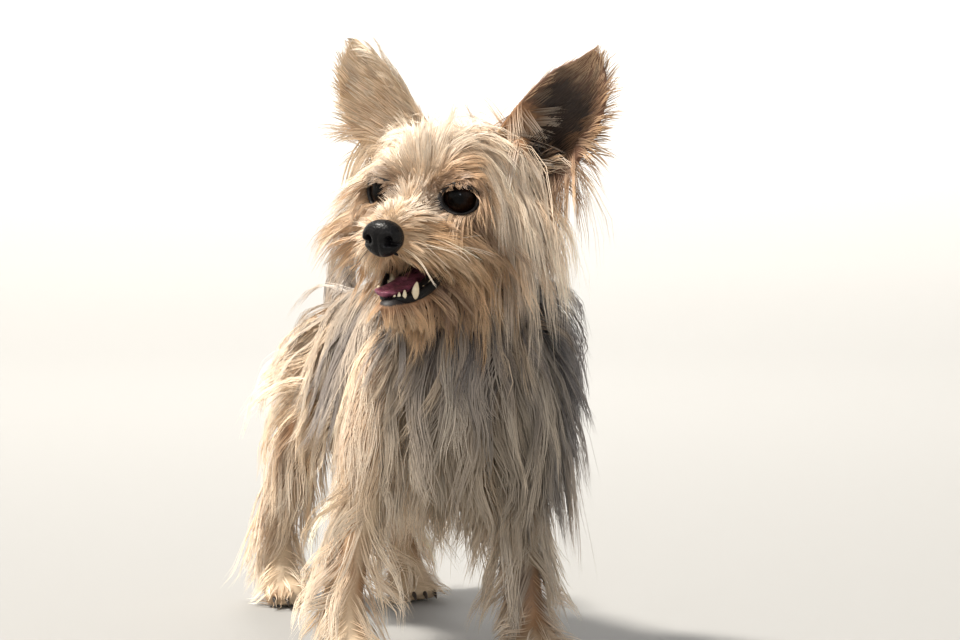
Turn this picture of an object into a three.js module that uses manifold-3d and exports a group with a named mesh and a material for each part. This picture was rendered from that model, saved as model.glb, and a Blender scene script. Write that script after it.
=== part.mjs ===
// A Yorkshire terrier standing square on four feet, life size, in millimetres.
// It faces -Y, its left side is +X and +Z is up. The head is turned to its right, the mouth is open.
// The long silky coat is built as flat tapered locks that fall from the back, neck, face and legs.
import * as THREE from "three";
import { mergeVertices } from "three/addons/utils/BufferGeometryUtils.js";
import Module from "manifold-3d";

const wasm = await Module();
wasm.setup();

const { PI, abs, cos, hypot, max, min, sin } = Math;
const V = (x, y, z) => new THREE.Vector3(x, y, z);
const DOWN = V(0, 0, -1);
const degrees = THREE.MathUtils.degToRad;

// Driving dimensions
const WITHERS = 187; // top of the body at the shoulders, hair laid flat
const BRISKET = 92; // underside of the chest
const CHEST_WIDTH = 88;
const SHOULDER_SHIFT = 10; // the shoulders lie this far left of the hips
const CHEST_Y = -118; // front of the breast
const RUMP_Y = 101;
const FRONT_FOOT_Y = -90;
const HIND_FOOT_Y = 92;
const GAP = 0.36; // clearance between two touching pieces
const FLOOR_CLEAR = 8; // the lowest hair stops about this far above the floor

// The head's place and turn on the body
const HEAD_CENTRE = V(-2.1, -116.5, 227.9);
const HEAD_TURN = -44.6;
const HEAD_NOD = 8.7;
const HEAD_TILT = 4.5;
const TILT_AXIS = V(0.309, 0.951, 0);

// Hide and hair colours
const GOLD = 0xc99a66;
const CREAM = 0xdcc7a8;
const STEEL = 0x8a8480;
const BLACK = 0x15110f;

const hair = (color) => new THREE.MeshStandardMaterial({ color, roughness: 0.75, metalness: 0 });
const wet = (color) => new THREE.MeshStandardMaterial({ color, roughness: 0.25, metalness: 0 });

// A seeded draw between 0 and 1, the same on each run
let seed = 7;
function draw() {
  seed = (seed + 0x6d2b79f5) | 0;
  let t = Math.imul(seed ^ (seed >>> 15), 1 | seed);
  t = (t + Math.imul(t ^ (t >>> 7), 61 | t)) ^ t;
  return ((t ^ (t >>> 14)) >>> 0) / 4294967296;
}
const vary = (share) => 1 + share * (2 * draw() - 1);
const about = (range) => range * (2 * draw() - 1);

// Closed surface from an indexed list of points, turned to face outwards
function solid(positions, triangles) {
  const vertProperties = new Float32Array(positions.flatMap((p) => [p.x, p.y, p.z]));
  const make = (list) =>
    new wasm.Manifold(new wasm.Mesh({ numProp: 3, vertProperties, triVerts: new Uint32Array(list) }));
  const made = make(triangles);
  if (made.volume() > 0) return made;
  const turned = [];
  for (let i = 0; i < triangles.length; i += 3) {
    turned.push(triangles[i], triangles[i + 2], triangles[i + 1]);
  }
  return make(turned);
}

// A three.js geometry, placed by a matrix, as a solid
function solidOf(geometry, matrix = new THREE.Matrix4()) {
  const bare = geometry.clone();
  bare.deleteAttribute("normal");
  bare.deleteAttribute("uv");
  const merged = mergeVertices(bare.applyMatrix4(matrix), 1e-4);
  const at = merged.attributes.position;
  const points = Array.from({ length: at.count }, (_, i) => V(at.getX(i), at.getY(i), at.getZ(i)));
  return solid(points, [...merged.index.array]);
}

const join = (pieces) => wasm.Manifold.union(pieces);

// Only the outer, largest closed surface of a solid
function largest(made) {
  const bodies = made.decompose().sort((a, b) => b.volume() - a.volume());
  return bodies[0];
}

function less(made, cutters) {
  return cutters.reduce((left, cutter) => left.subtract(cutter), made);
}

// A body swept along a spine through oval sections. Each station is
// [centre, half width, half height above, half height below], "above" being side x spine.
class Swept {
  constructor(stations, side, sides, rings, plane = null, grow = 0) {
    Object.assign(this, { stations, side, sides, rings, plane, grow, free: [0, 1] });
    this.centres = new THREE.CatmullRomCurve3(stations.map((s) => s[0]), false, "centripetal");
    this.radii = new THREE.CatmullRomCurve3(stations.map((s) => V(s[1], s[2], s[3])), false, "centripetal");
    this.frames = Array.from({ length: 33 }, (_, i) => this.frame(i / 32));
  }

  grown(by) {
    return new Swept(this.stations, this.side, this.sides, this.rings, this.plane, this.grow + by);
  }

  frame(s) {
    const at = this.centres.getPoint(s);
    const along = this.plane ?? this.centres.getTangent(s);
    const side = this.side.clone().addScaledVector(along, -this.side.dot(along)).normalize();
    const up = side.clone().cross(along).normalize();
    const r = this.radii.getPoint(s);
    const g = this.grow;
    return { s, at, along, side, up, wide: r.x + g, above: r.y + g, below: r.z + g };
  }

  // The surface at share s of the spine and angle a round it, out millimetres above it
  point(s, a, out = 0) {
    const f = this.frame(s);
    const tall = sin(a) > 0 ? f.above : f.below;
    return f.at.clone()
      .addScaledVector(f.side, f.wide * cos(a))
      .addScaledVector(f.up, tall * sin(a))
      .addScaledVector(this.normal(s, a), out);
  }

  normal(s, a) {
    const f = this.frame(s);
    const tall = sin(a) > 0 ? f.above : f.below;
    return V(0, 0, 0)
      .addScaledVector(f.side, cos(a) / f.wide)
      .addScaledVector(f.up, sin(a) / tall)
      .normalize();
  }

  // Surface point and normal at share s of the spine and angle degrees round it
  place({ share, angle }) {
    return { root: this.point(share, degrees(angle)), normal: this.normal(share, degrees(angle)) };
  }

  // Moves a point out of the body until it is clear of it by out, away from the ends
  push(p, out) {
    const f = this.frames.reduce((a, b) => (a.at.distanceToSquared(p) < b.at.distanceToSquared(p) ? a : b));
    const away = p.clone().sub(f.at);
    if (f.s < this.free[0] || f.s > this.free[1] || abs(away.dot(f.along)) > 12) return p;
    const x = away.dot(f.side);
    const y = away.dot(f.up);
    const wide = f.wide + out;
    const tall = (y > 0 ? f.above : f.below) + out;
    const q = hypot(x / wide, y / tall);
    if (q >= 1 || q < 1e-3) return p;
    const scale = 1 / q - 1;
    return p.clone().addScaledVector(f.side, x * scale).addScaledVector(f.up, y * scale);
  }

  solid() {
    const { sides, rings } = this;
    const points = [];
    const triangles = [];
    for (let i = 0; i <= rings; i++) {
      for (let j = 0; j < sides; j++) points.push(this.point(i / rings, (2 * PI * j) / sides));
    }
    const first = this.frame(0);
    const last = this.frame(1);
    const cap = (f, way) => f.at.clone().addScaledVector(f.along, way * (this.grow + 0.25 * f.wide));
    points.push(cap(first, -1), cap(last, 1));
    const poleA = points.length - 2;
    const poleB = points.length - 1;
    for (let j = 0; j < sides; j++) {
      const k = (j + 1) % sides;
      for (let i = 0; i < rings; i++) {
        const a = i * sides + j;
        const b = i * sides + k;
        triangles.push(a, b, a + sides, b, b + sides, a + sides);
      }
      triangles.push(poleA, k, j, poleB, rings * sides + j, rings * sides + k);
    }
    return solid(points, triangles);
  }
}

// A ball stretched to three half sizes along the axes of a turned frame
class Ball {
  constructor(centre, radii, frame = new THREE.Matrix4()) {
    this.centre = centre;
    this.radii = radii;
    this.out = new THREE.Matrix4().extractRotation(frame);
    this.back = this.out.clone().invert();
  }

  // Surface point and normal at az degrees from the front towards the left, and el degrees up
  place({ az, el }) {
    const [a, e] = [degrees(az), degrees(el)];
    const way = V(sin(a) * cos(e), -cos(a) * cos(e), sin(e));
    const root = way.clone().multiply(this.radii).applyMatrix4(this.out).add(this.centre);
    const normal = way.divide(this.radii).applyMatrix4(this.out).normalize();
    return { root, normal };
  }

  solid(grow = 0) {
    const scale = this.radii.clone().addScalar(grow);
    const frame = this.out.clone().setPosition(this.centre).scale(scale);
    return solidOf(new THREE.SphereGeometry(1, 12, 8).rotateX(PI / 2), frame);
  }

  // Moves a point out of the ball until it is clear of it by out
  push(p, out) {
    const local = p.clone().sub(this.centre).applyMatrix4(this.back);
    const radii = this.radii.clone().addScalar(out);
    const q = local.clone().divide(radii).length();
    if (q >= 1 || q < 1e-3) return p;
    return local.divideScalar(q).applyMatrix4(this.out).add(this.centre);
  }
}

// A flat lock of hair: flat below, ridged above, widest a third of the way along, tapered to a point
const LONG = [0.8, 1, 0.94, 0.62];
const SHORT = [0.9, 1, 0.66];
function lockSolid({ path, normal, width, thick, shape }, grow = 0) {
  const curve = new THREE.CatmullRomCurve3(path, false, "centripetal");
  const rings = shape.length;
  const points = [];
  const triangles = [];
  let out = normal.clone();
  for (let i = 0; i < rings; i++) {
    const t = i / rings;
    const at = curve.getPoint(t);
    const along = curve.getTangent(t);
    out = out.addScaledVector(along, -out.dot(along)).normalize();
    const across = along.cross(out);
    const half = shape[i] * width * 0.5 + 4.5 * grow;
    const deep = (0.3 + 0.7 * shape[i]) * thick;
    points.push(
      at.clone().addScaledVector(across, half).addScaledVector(out, -grow),
      at.clone().addScaledVector(out, deep + 2 * grow),
      at.clone().addScaledVector(across, -half).addScaledVector(out, -grow));
  }
  points.push(curve.getPoint(0).addScaledVector(curve.getTangent(0), -grow - 0.5));
  points.push(curve.getPoint(1).addScaledVector(curve.getTangent(1), 3 * grow));
  const root = points.length - 2;
  const tip = points.length - 1;
  for (let j = 0; j < 3; j++) {
    const k = (j + 1) % 3;
    for (let i = 0; i < rings - 1; i++) {
      const a = i * 3 + j;
      const b = i * 3 + k;
      triangles.push(a, b, a + 3, b, b + 3, a + 3);
    }
    const last = (rings - 1) * 3;
    triangles.push(root, k, j, tip, last + j, last + k);
  }
  return solid(points, triangles);
}

// The path of a lock: it leaves the skin, bends under its own weight and lies over the bodies below it,
// close to them at the root and further out at the tip
const STEPS = 5;
function drape({ root, normal, flow, length, sink, lift, fall, curl, low, high, over }) {
  const path = [root.clone().addScaledVector(normal, -sink)];
  const aside = flow.clone().cross(normal).normalize();
  let way = flow.clone().addScaledVector(normal, lift - flow.dot(normal)).normalize();
  let at = root.clone().addScaledVector(normal, low);
  for (let i = 1; i <= STEPS; i++) {
    const share = i / STEPS;
    const before = at;
    at = at.clone().addScaledVector(way, length / STEPS);
    for (const body of over) at = body.push(at, low + (high - low) * share);
    at.z = max(at.z, FLOOR_CLEAR);
    path.push(at);
    way = at.clone().sub(before).normalize()
      .addScaledVector(DOWN, fall)
      .addScaledVector(aside, curl * cos(2 * PI * share))
      .normalize();
  }
  return path;
}

// Locks set on a body at their spots, laid over the bodies round it
function locksOn(body, spots, over) {
  return spots.map((spot) => {
    const { root, normal } = body.place(spot);
    const lie = { sink: 4, lift: 0.15, fall: 0.35, curl: about(0.12), low: 1, high: 10 };
    const lock = { ...lie, thick: 5, shape: SHORT, ...spot, root, normal, over };
    return { ...lock, path: drape(lock) };
  });
}

// A coat is a list of locks; its solid can be grown to cut the neighbours clear
const coatSolids = (locks, grow = 0) => locks.map((lock) => lockSolid(lock, grow));

// Head frame to body frame
const turn = new THREE.Matrix4().makeRotationZ(degrees(HEAD_TURN));
const nod = new THREE.Matrix4().makeRotationX(degrees(HEAD_NOD));
const tilt = new THREE.Matrix4().makeRotationAxis(TILT_AXIS.clone().normalize(), degrees(HEAD_TILT));
const headMatrix = new THREE.Matrix4()
  .makeTranslation(HEAD_CENTRE.x, HEAD_CENTRE.y, HEAD_CENTRE.z)
  .multiply(tilt)
  .multiply(turn)
  .multiply(nod);
const H = (x, y, z) => V(x, y, z).applyMatrix4(headMatrix);
const headWay = (x, y, z) => V(x, y, z).transformDirection(headMatrix);
const HEAD_SIDE = headWay(1, 0, 0);
const HEAD_BACK = headWay(0, 1, 0);
const X_SIDE = V(1, 0, 0);

// Trunk, from the breast to the rump. At the shoulders it bends a little to the left, away from the turned head.
const midHeight = (WITHERS + BRISKET) / 2;
const halfHeight = (WITHERS - BRISKET) / 2;
const halfChest = CHEST_WIDTH / 2;
const trunk = new Swept([
  [V(SHOULDER_SHIFT, CHEST_Y, midHeight - 2), 0.44 * halfChest, 0.42 * halfHeight, 0.42 * halfHeight],
  [V(SHOULDER_SHIFT, CHEST_Y + 15, midHeight), 0.84 * halfChest, 0.86 * halfHeight, 0.84 * halfHeight],
  [V(SHOULDER_SHIFT, CHEST_Y + 42, midHeight), halfChest, halfHeight, halfHeight],
  [V(0.6 * SHOULDER_SHIFT, -32, midHeight), 0.88 * halfChest, 0.98 * halfHeight, halfHeight],
  [V(0.2 * SHOULDER_SHIFT, 14, midHeight - 2), 0.76 * halfChest, 0.94 * halfHeight, 0.82 * halfHeight],
  [V(0, 52, midHeight - 5), 0.65 * halfChest, 0.88 * halfHeight, 0.66 * halfHeight],
  [V(0, RUMP_Y - 22, midHeight - 7), 0.56 * halfChest, 0.75 * halfHeight, 0.6 * halfHeight],
  [V(0, RUMP_Y - 3, midHeight - 8), 0.38 * halfChest, 0.5 * halfHeight, 0.4 * halfHeight],
  [V(0, RUMP_Y, midHeight - 8), 0.16 * halfChest, 0.2 * halfHeight, 0.18 * halfHeight],
], X_SIDE, 16, 12, V(0, 1, 0));

// Neck, from between the shoulders to the back of the skull
const neck = new Swept([
  [V(SHOULDER_SHIFT - 2, -78, 150), 33, 32, 32],
  [V(0.5 * SHOULDER_SHIFT, -92, 176), 34, 33, 33],
  [V(0, -102, 200), 32, 31, 31],
  [V(-3, -106, 222), 28, 27, 27],
], X_SIDE, 14, 5);

// Skull and upper face, from the muzzle's front to the back of the skull
const skull = new Swept([
  [H(0, -67, -19), 8.5, 6.5, 7],
  [H(0, -61, -18.5), 12.5, 9, 10],
  [H(0, -50, -17.5), 15.5, 10.5, 11.5],
  [H(0, -40, -14), 21, 14, 17],
  [H(0, -31, -6), 29, 21, 25],
  [H(0, -17, -2), 35, 27, 31],
  [H(0, 2, 0), 37, 28.5, 34],
  [H(0, 22, 1), 32, 24, 31],
  [H(0, 35, 0), 18, 15, 18],
  [H(0, 39, 0), 8, 7, 8],
], HEAD_SIDE, 18, 16, HEAD_BACK);

// Lower jaw, dropped open, from the chin to the hinge
const jawBone = new Swept([
  [H(0, -60, -50), 5.5, 3.4, 4],
  [H(0, -56, -50), 9, 5, 6.4],
  [H(0, -46, -47.5), 12.5, 6.2, 9],
  [H(0, -32, -42), 17, 8, 11],
  [H(0, -16, -34), 21, 10, 13],
  [H(0, -2, -28), 20, 10, 12],
], HEAD_SIDE, 12, 9, HEAD_BACK);

// The open mouth between them
const mouth = new Swept([
  [H(0, -66, -39.5), 8, 6.5, 6.5],
  [H(0, -56, -38.5), 9.6, 8, 8],
  [H(0, -44, -36), 11, 7.6, 7],
  [H(0, -30, -33), 11.5, 5, 5],
  [H(0, -22, -31.5), 8, 2.6, 2.6],
], HEAD_SIDE, 10, 7, HEAD_BACK);

const tongueBody = new Swept([
  [H(0, -57.5, -43.6), 3.5, 1.1, 1.1],
  [H(0, -54.5, -43.4), 6.6, 1.8, 1.6],
  [H(0, -44, -41), 8, 2.4, 2.2],
  [H(0, -32, -37), 8, 2.6, 2.4],
  [H(0, -25, -34.2), 5, 1.6, 1.6],
], HEAD_SIDE, 8, 6, HEAD_BACK);

// Legs. Each runs from inside the body, at x = top, down to the toes at x, y.
function legBody({ front, top, x, y }) {
  const between = (share) => top + (x - top) * share;
  const sole = [
    [V(x, y, 9), 14, 14, 17],
    [V(x, y - 1, 1), 13, 13, 16],
    [V(x, y - 1, -2.5), 11, 11, 14],
  ];
  const limb = front
    ? [
      [V(between(0), y + 15, 142), 15, 24, 18],
      [V(between(0.25), y + 15, 116), 16, 22, 18],
      [V(between(0.45), y + 15, 94), 13.5, 17, 14],
      [V(between(0.7), y + 11, 66), 11.5, 12.5, 11.5],
      [V(between(0.95), y + 8, 36), 10.5, 11, 10.5],
      [V(x, y + 5, 20), 11.5, 11.5, 13],
    ]
    : [
      [V(between(0), y - 24, 142), 13, 26, 28],
      [V(between(0.3), y - 22, 116), 15, 27, 29],
      [V(between(0.6), y - 20, 92), 14, 22, 24],
      [V(between(0.8), y - 4, 68), 12, 16, 16],
      [V(x, y + 13, 46), 10.5, 11.5, 12],
      [V(x, y + 11, 24), 10.5, 10.5, 12],
    ];
  return new Swept([...limb, ...sole], X_SIDE, 8, 11);
}

const feet = {
  leg_front_left: { front: true, left: true, top: 36, x: 43, y: FRONT_FOOT_Y },
  leg_front_right: { front: true, left: false, top: -24, x: -47, y: FRONT_FOOT_Y - 3 },
  leg_hind_left: { front: false, left: true, top: 22, x: 35, y: HIND_FOOT_Y - 3 },
  leg_hind_right: { front: false, left: false, top: -22, x: -34, y: HIND_FOOT_Y + 2 },
};
for (const leg of Object.values(feet)) leg.body = legBody(leg);

// Tail, short, carried a little above the line of the back
const tailBody = new Swept([
  [V(0, RUMP_Y - 16, 156), 11, 11, 11],
  [V(1, RUMP_Y, 166), 10.5, 10.5, 10.5],
  [V(4, RUMP_Y + 15, 178), 9, 9, 9],
  [V(8, RUMP_Y + 28, 188), 7, 7, 7],
  [V(11, RUMP_Y + 37, 193), 3.5, 3.5, 3.5],
], X_SIDE, 8, 6);

// A ball stretched to three half sizes, in the head's frame
const TURNED = new THREE.Matrix4();
function headBall(x, y, z, rx, ry, rz, around = 12, high = 9) {
  const local = new THREE.Matrix4().makeTranslation(x, y, z).scale(V(rx, ry, rz));
  return solidOf(new THREE.SphereGeometry(1, around, high), TURNED.multiplyMatrices(headMatrix, local));
}

// Eyes, set deep under lids that leave an almond open
const EYE = { x: 18.2, y: -29.5, z: -4, radius: 8.6 };
const LID = 1.7;
const eyeSolid = (s, grow = 0) => {
  const r = EYE.radius + grow;
  return headBall(s * EYE.x, EYE.y, EYE.z, r, r, r, 10, 7);
};
const lidSolid = (s) => {
  const r = EYE.radius + GAP + LID;
  return headBall(s * EYE.x, EYE.y, EYE.z, r, r, r, 10, 7);
};
const almondSolid = (s) => headBall(s * (EYE.x + 2.6), EYE.y - 9, EYE.z - 0.2, 8.6, 9, 6.6, 10, 6);

// Nose leather with two nostrils that open to the side
const NOSE = { y: -68.5, z: -18.5, wide: 9.2, long: 7, high: 7 };
function noseSolid(grow = 0) {
  const ball = headBall(0, NOSE.y, NOSE.z, NOSE.wide + grow, NOSE.long + grow, NOSE.high + grow, 10, 7);
  if (grow > 0) return ball;
  const holes = [1, -1].map((s) => headBall(s * 5.2, NOSE.y - 6, NOSE.z - 0.5, 2.5, 5, 2, 6, 4));
  return less(ball, holes);
}

// Lower teeth: a canine each side with small incisors between
function toothSolids(grow = 0) {
  const row = [[-8, 1.5, 6], [-4.4, 1.3, 3.2], [-1.5, 1.2, 3], [1.5, 1.2, 3], [4.4, 1.3, 3.2], [8, 1.5, 6]];
  return row.map(([x, radius, high]) => {
    const y = -57.5 + 0.075 * x * x;
    const cone = new THREE.ConeGeometry(radius + grow, high + 4 + grow, 5).rotateX(PI / 2);
    const place = new THREE.Matrix4().makeTranslation(x, y, -46.5 + high / 2);
    return solidOf(cone, new THREE.Matrix4().multiplyMatrices(headMatrix, place));
  });
}

// Ears: thin upright cups between an inner and an outer edge that meet in a rounded tip
const EAR = { inner: V(17, 6, 21), outer: V(38, 11, -6), tip: V(62, 13, 61), bulge: 13, cup: 12, thick: 2.6 };
function earPoint(s, u, v) {
  const inner = EAR.inner.clone().lerp(EAR.tip.clone().add(V(-4.5, 0, 0.6)), v);
  const outer = EAR.outer.clone().lerp(EAR.tip.clone().add(V(3.5, 0, -2.5)), v);
  const arch = max(0, sin(PI * v));
  inner.add(V(-1.2, 0, 2).multiplyScalar(arch));
  outer.add(V(1, 0.1, -0.12).multiplyScalar(EAR.bulge * arch ** 0.8));
  const p = inner.lerp(outer, u);
  const rounding = 5 * (2 * u - 1) ** 2 * max(0, v - 0.7) / 0.3;
  p.y += EAR.cup * max(0, 1 - v) ** 0.7 * 4 * u * (1 - u) - 3 * arch;
  p.z -= rounding;
  return H(s * p.x, p.y, p.z);
}
function earNormal(s, u, v) {
  const e = 0.02;
  const across = earPoint(s, u + e, v).sub(earPoint(s, u - e, v));
  const up = earPoint(s, u, v + e).sub(earPoint(s, u, v - e));
  return across.cross(up).multiplyScalar(s).normalize();
}
function earSolid(s, grow = 0) {
  const wide = 6;
  const tall = 6;
  const points = [];
  const triangles = [];
  const rim = grow * 0.02;
  for (const face of [1, -1]) {
    for (let i = 0; i <= tall; i++) {
      for (let j = 0; j <= wide; j++) {
        const v = i / tall;
        const half = (EAR.thick * (1 - 0.4 * v)) / 2 + grow;
        const u = j / wide + rim * (2 * (j / wide) - 1) * 2;
        const p = earPoint(s, u, v + (i === tall ? rim : 0));
        points.push(p.addScaledVector(earNormal(s, j / wide, min(v, 0.96)), face * half));
      }
    }
  }
  const row = wide + 1;
  const back = row * (tall + 1);
  const quad = (a, b, c, d) => triangles.push(a, b, c, b, d, c);
  for (let i = 0; i < tall; i++) {
    for (let j = 0; j < wide; j++) {
      const a = i * row + j;
      triangles.push(a, a + 1, a + row, a + 1, a + row + 1, a + row);
      triangles.push(back + a, back + a + row, back + a + 1, back + a + 1, back + a + row, back + a + row + 1);
    }
    const left = i * row;
    const right = i * row + wide;
    quad(left, left + row, back + left, back + left + row);
    quad(right, back + right, right + row, back + right + row);
  }
  for (let j = 0; j < wide; j++) {
    const top = tall * row + j;
    quad(j, back + j, j + 1, back + j + 1);
    quad(top, top + 1, back + top, back + top + 1);
  }
  return solid(points, triangles);
}

// Four toes with claws on each paw
function toeSolids(leg) {
  const made = [];
  [-1.5, -0.5, 0.5, 1.5].forEach((n) => {
    const x = leg.x + 6.4 * n;
    const y = leg.y - 14.5 + 1.6 * n * n;
    const toe = new THREE.SphereGeometry(1, 6, 3);
    const place = new THREE.Matrix4().makeTranslation(x, y, 6).scale(V(4.6, 7.5, 7.2));
    made.push(solidOf(toe, place));
    const claw = new THREE.ConeGeometry(1.4, 8, 3).rotateX(PI).rotateX(degrees(35));
    made.push(solidOf(claw, new THREE.Matrix4().makeTranslation(x, y - 7.6, 5)));
  });
  return made;
}
const floorBox = new THREE.BoxGeometry(400, 600, 60);
const belowFloor = solidOf(floorBox, new THREE.Matrix4().makeTranslation(0, 0, -30));

// Balls that carry locks: the breast, the rump, the back of the head and a tuft on the left shoulder
const breast = new Ball(V(SHOULDER_SHIFT, CHEST_Y + 36, midHeight - 3), V(halfChest - 1, 38, halfHeight - 3));
const rump = new Ball(V(0, RUMP_Y - 34, midHeight - 7), V(0.6 * halfChest, 36, 0.76 * halfHeight));
const cranium = new Ball(H(0, 4, 0), V(36, 37, 28), headMatrix);
const tuft = new Ball(V(SHOULDER_SHIFT + 18, CHEST_Y + 40, 126), V(30, 33, 48));

// Fullness of the coat that other locks lie over: the left shoulder and the two cheeks
const cape = new Ball(V(SHOULDER_SHIFT + 22, CHEST_Y + 38, 126), V(34, 38, 60));
const cheeks = [
  new Ball(H(22, -2, -26), V(34, 27, 34), headMatrix),
  new Ball(H(-14, -4, -30), V(36, 25, 34), headMatrix),
];
trunk.free = [0.22, 0.86];
neck.free = [0, 0.9];

// Evenly spaced numbers from a to b
const spread = (a, b, count) => Array.from({ length: count }, (_, i) => a + ((b - a) * (i + 0.5)) / count);

// Trunk: the coat lies down and back from the parting along the spine, to a skirt at the knees.
// It stands out most over the left shoulder.
function trunkCoat() {
  const rows = [
    { angle: 82, from: 0.22, to: 0.94, count: 5, length: 88, back: 0.3, fall: 0.75, out: 13, thick: 3.8 },
    { angle: 46, from: 0.2, to: 0.94, count: 5, length: 80, back: 0.22, fall: 0.65, out: 11 },
    { angle: 2, from: 0.24, to: 0.66, count: 3, length: 60, back: 0.15, fall: 0.4, out: 9 },
  ];
  const spots = [];
  for (const { from, to, count, back, out, ...row } of rows) {
    for (const side of [1, -1]) {
      spread(from, to, count).forEach((share, i) => {
        const tilted = row.angle + about(3);
        const angle = side > 0 ? tilted : 180 - tilted;
        const here = trunk.place({ share, angle }).root;
        const flow = trunk.place({ share, angle: angle - 3 * side }).root.sub(here).normalize();
        flow.y += back;
        const draped = side > 0 && share < 0.4;
        const high = draped ? 5 : out * (1 - 0.7 * share) + 1.2 * (i % 2);
        const thick = draped ? 7 : row.thick ?? 5;
        const shape = row.length > 70 ? LONG : SHORT;
        const length = row.length * (1 - 0.15 * share) * vary(0.1);
        spots.push({ share: share + about(0.02), angle, flow, length, width: 29, high, thick, fall: row.fall, shape });
      });
    }
  }
  // Fringe under the belly
  for (const share of [0.36, 0.58]) {
    for (const angle of [-112, -68]) {
      const length = 30 * vary(0.1);
      spots.push({ share, angle, flow: V(0, 0.15, -1), length, width: 24, thick: 4 });
    }
  }
  const onBreast = [];
  for (const [el, count, length, high] of [[-6, 5, 62, 6], [-42, 3, 40, 4]]) {
    for (const az of spread(-70, 74, count)) {
      const flow = V(0.15 * sin(degrees(az)), -0.1, -1);
      onBreast.push({ az, el, flow, length: length * vary(0.1), width: 24, high });
    }
  }
  const onRump = [];
  for (const [el, from, to, count, length, high] of [[28, 116, 244, 4, 72, 12], [-14, 136, 224, 3, 52, 7]]) {
    for (const az of spread(from, to, count)) {
      const flow = V(0.15 * sin(degrees(az)), 0.2, -1);
      onRump.push({ az, el, flow, length: length * vary(0.1), width: 23, high });
    }
  }
  const onShoulder = [[48, 22], [84, 20], [118, 14], [66, -16], [102, -20]].map(([az, el]) => ({
    az, el, flow: V(0.2 * sin(degrees(az)), 0.1, -1), length: 54 * vary(0.1), width: 26, high: 3, sink: 5, fall: 0.5,
  }));
  return [
    ...locksOn(trunk, spots, [trunk, breast, rump, cape]),
    ...locksOn(tuft, onShoulder, [cape]),
    ...locksOn(breast, onBreast, [trunk, breast, cape]),
    ...locksOn(rump, onRump, [trunk, rump]),
  ];
}

// Neck: a ruff all round, falling over the shoulders and the breast
function neckCoat() {
  const spots = [];
  const rows = [
    { share: 0.72, around: [-108, -72, 4, 40, 72, 104], length: 62, low: 8, high: 17, width: 24, shape: LONG },
    { share: 0.42, around: [-112, -84, -56, -28, 0, 28, 54, 78, 102], length: 68, low: 6, high: 9, width: 24, shape: LONG },
  ];
  for (const { share, around, length, low, high, width } of rows) {
    for (const turned of around) {
      const angle = 90 - turned;
      const { normal } = neck.place({ share, angle });
      const flow = V(0.3 * normal.x, 0.25 * normal.y, -1);
      spots.push({ share, angle, flow, length: length * vary(0.1), width, low, high, sink: low + 4 });
    }
  }
  for (const angle of [-112, -68]) {
    spots.push({ share: 0.5, angle, flow: V(0, 1, -0.5), length: 52, width: 28, low: 1, high: 4, fall: 0.6 });
  }
  return locksOn(neck, spots, [neck, breast, trunk, cape]);
}

// Head: a fall from the crown past the eyes and behind the ears, cheeks, whiskers on the lip, and the nape
function headCoat() {
  const onSkull = [];
  const onCrown = [];
  for (const s of [1, -1]) {
    const add = (share, angle, way, length, width, extra = {}) => onSkull.push({
      share, angle: s > 0 ? angle : 180 - angle, flow: headWay(s * way[0], way[1], way[2]),
      length: length * vary(0.08), width, high: 7, ...extra,
    });
    // From the parting, above and outside the eye and in front of the ear
    add(0.42, 80, [1, 0.5, 0.1], 46, 13, { high: 8, thick: 4, fall: 0.25 });
    add(0.5, 81, [1, 0.25, 0], 58, 16, { high: 5, fall: 0.4 });
    add(0.59, 82, [1, 0.12, 0], 68, 19, { high: 4, fall: 0.45 });
    // Cheeks, from under the eye and the ear
    add(0.39, -12, [1, 0.3, -0.4], 42, 15, { high: 7, lift: 0.5 });
    add(0.46, 0, [1, 0.2, -0.5], 56, 18, { high: 9, lift: 0.5 });
    add(0.56, 6, [0.9, 0.1, -0.7], 66, 20, { high: 10, lift: 0.5 });
    add(0.67, 4, [0.6, 0.1, -1], 64, 20, { high: 10, lift: 0.3 });
    add(0.45, -42, [0.6, 0.2, -1], 46, 16, { high: 4, lift: 0.4 });
    add(0.56, -42, [0.4, 0.1, -1], 48, 18, { high: 5, lift: 0.3 });
    // Whiskers on the upper lip
    add(0.13, -8, [0.7, 0.7, -0.9], 22, 9, { thick: 2.6, sink: 3, high: 5 });
    add(0.22, -4, [0.8, 0.7, -0.8], 28, 11, { thick: 3, sink: 3, high: 8 });
    add(0.31, -16, [0.8, 0.6, -0.8], 32, 12, { thick: 3, sink: 3, high: 12 });
    for (const [az, el, length] of [[162, 58, 70], [128, 30, 70], [160, 10, 66]]) {
      const way = [s * 0.5, 0.35, -1];
      onCrown.push({ az: s * az, el, flow: headWay(...way), length: length * vary(0.08), width: 22, high: 14 });
    }
  }
  return [
    ...locksOn(skull, onSkull, [cranium, skull, neck, ...cheeks]),
    ...locksOn(cranium, onCrown, [cranium, neck, trunk, ...cheeks]),
  ];
}

// Beard under the lower jaw
function jawCoat() {
  const rows = [[0.12, [-90], 25], [0.26, [-40, -140], 27], [0.5, [-90, -20, -160], 28]];
  const spots = rows.flatMap(([share, angles, length]) => angles.map((angle) => ({
    share, angle, flow: headWay(0.4 * cos(degrees(angle)), 0.25, -1), length: length * vary(0.1),
    width: 14, thick: 3.4, sink: 3.5, high: 4,
  })));
  return locksOn(jawBone, spots, [jawBone, neck]);
}

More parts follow.
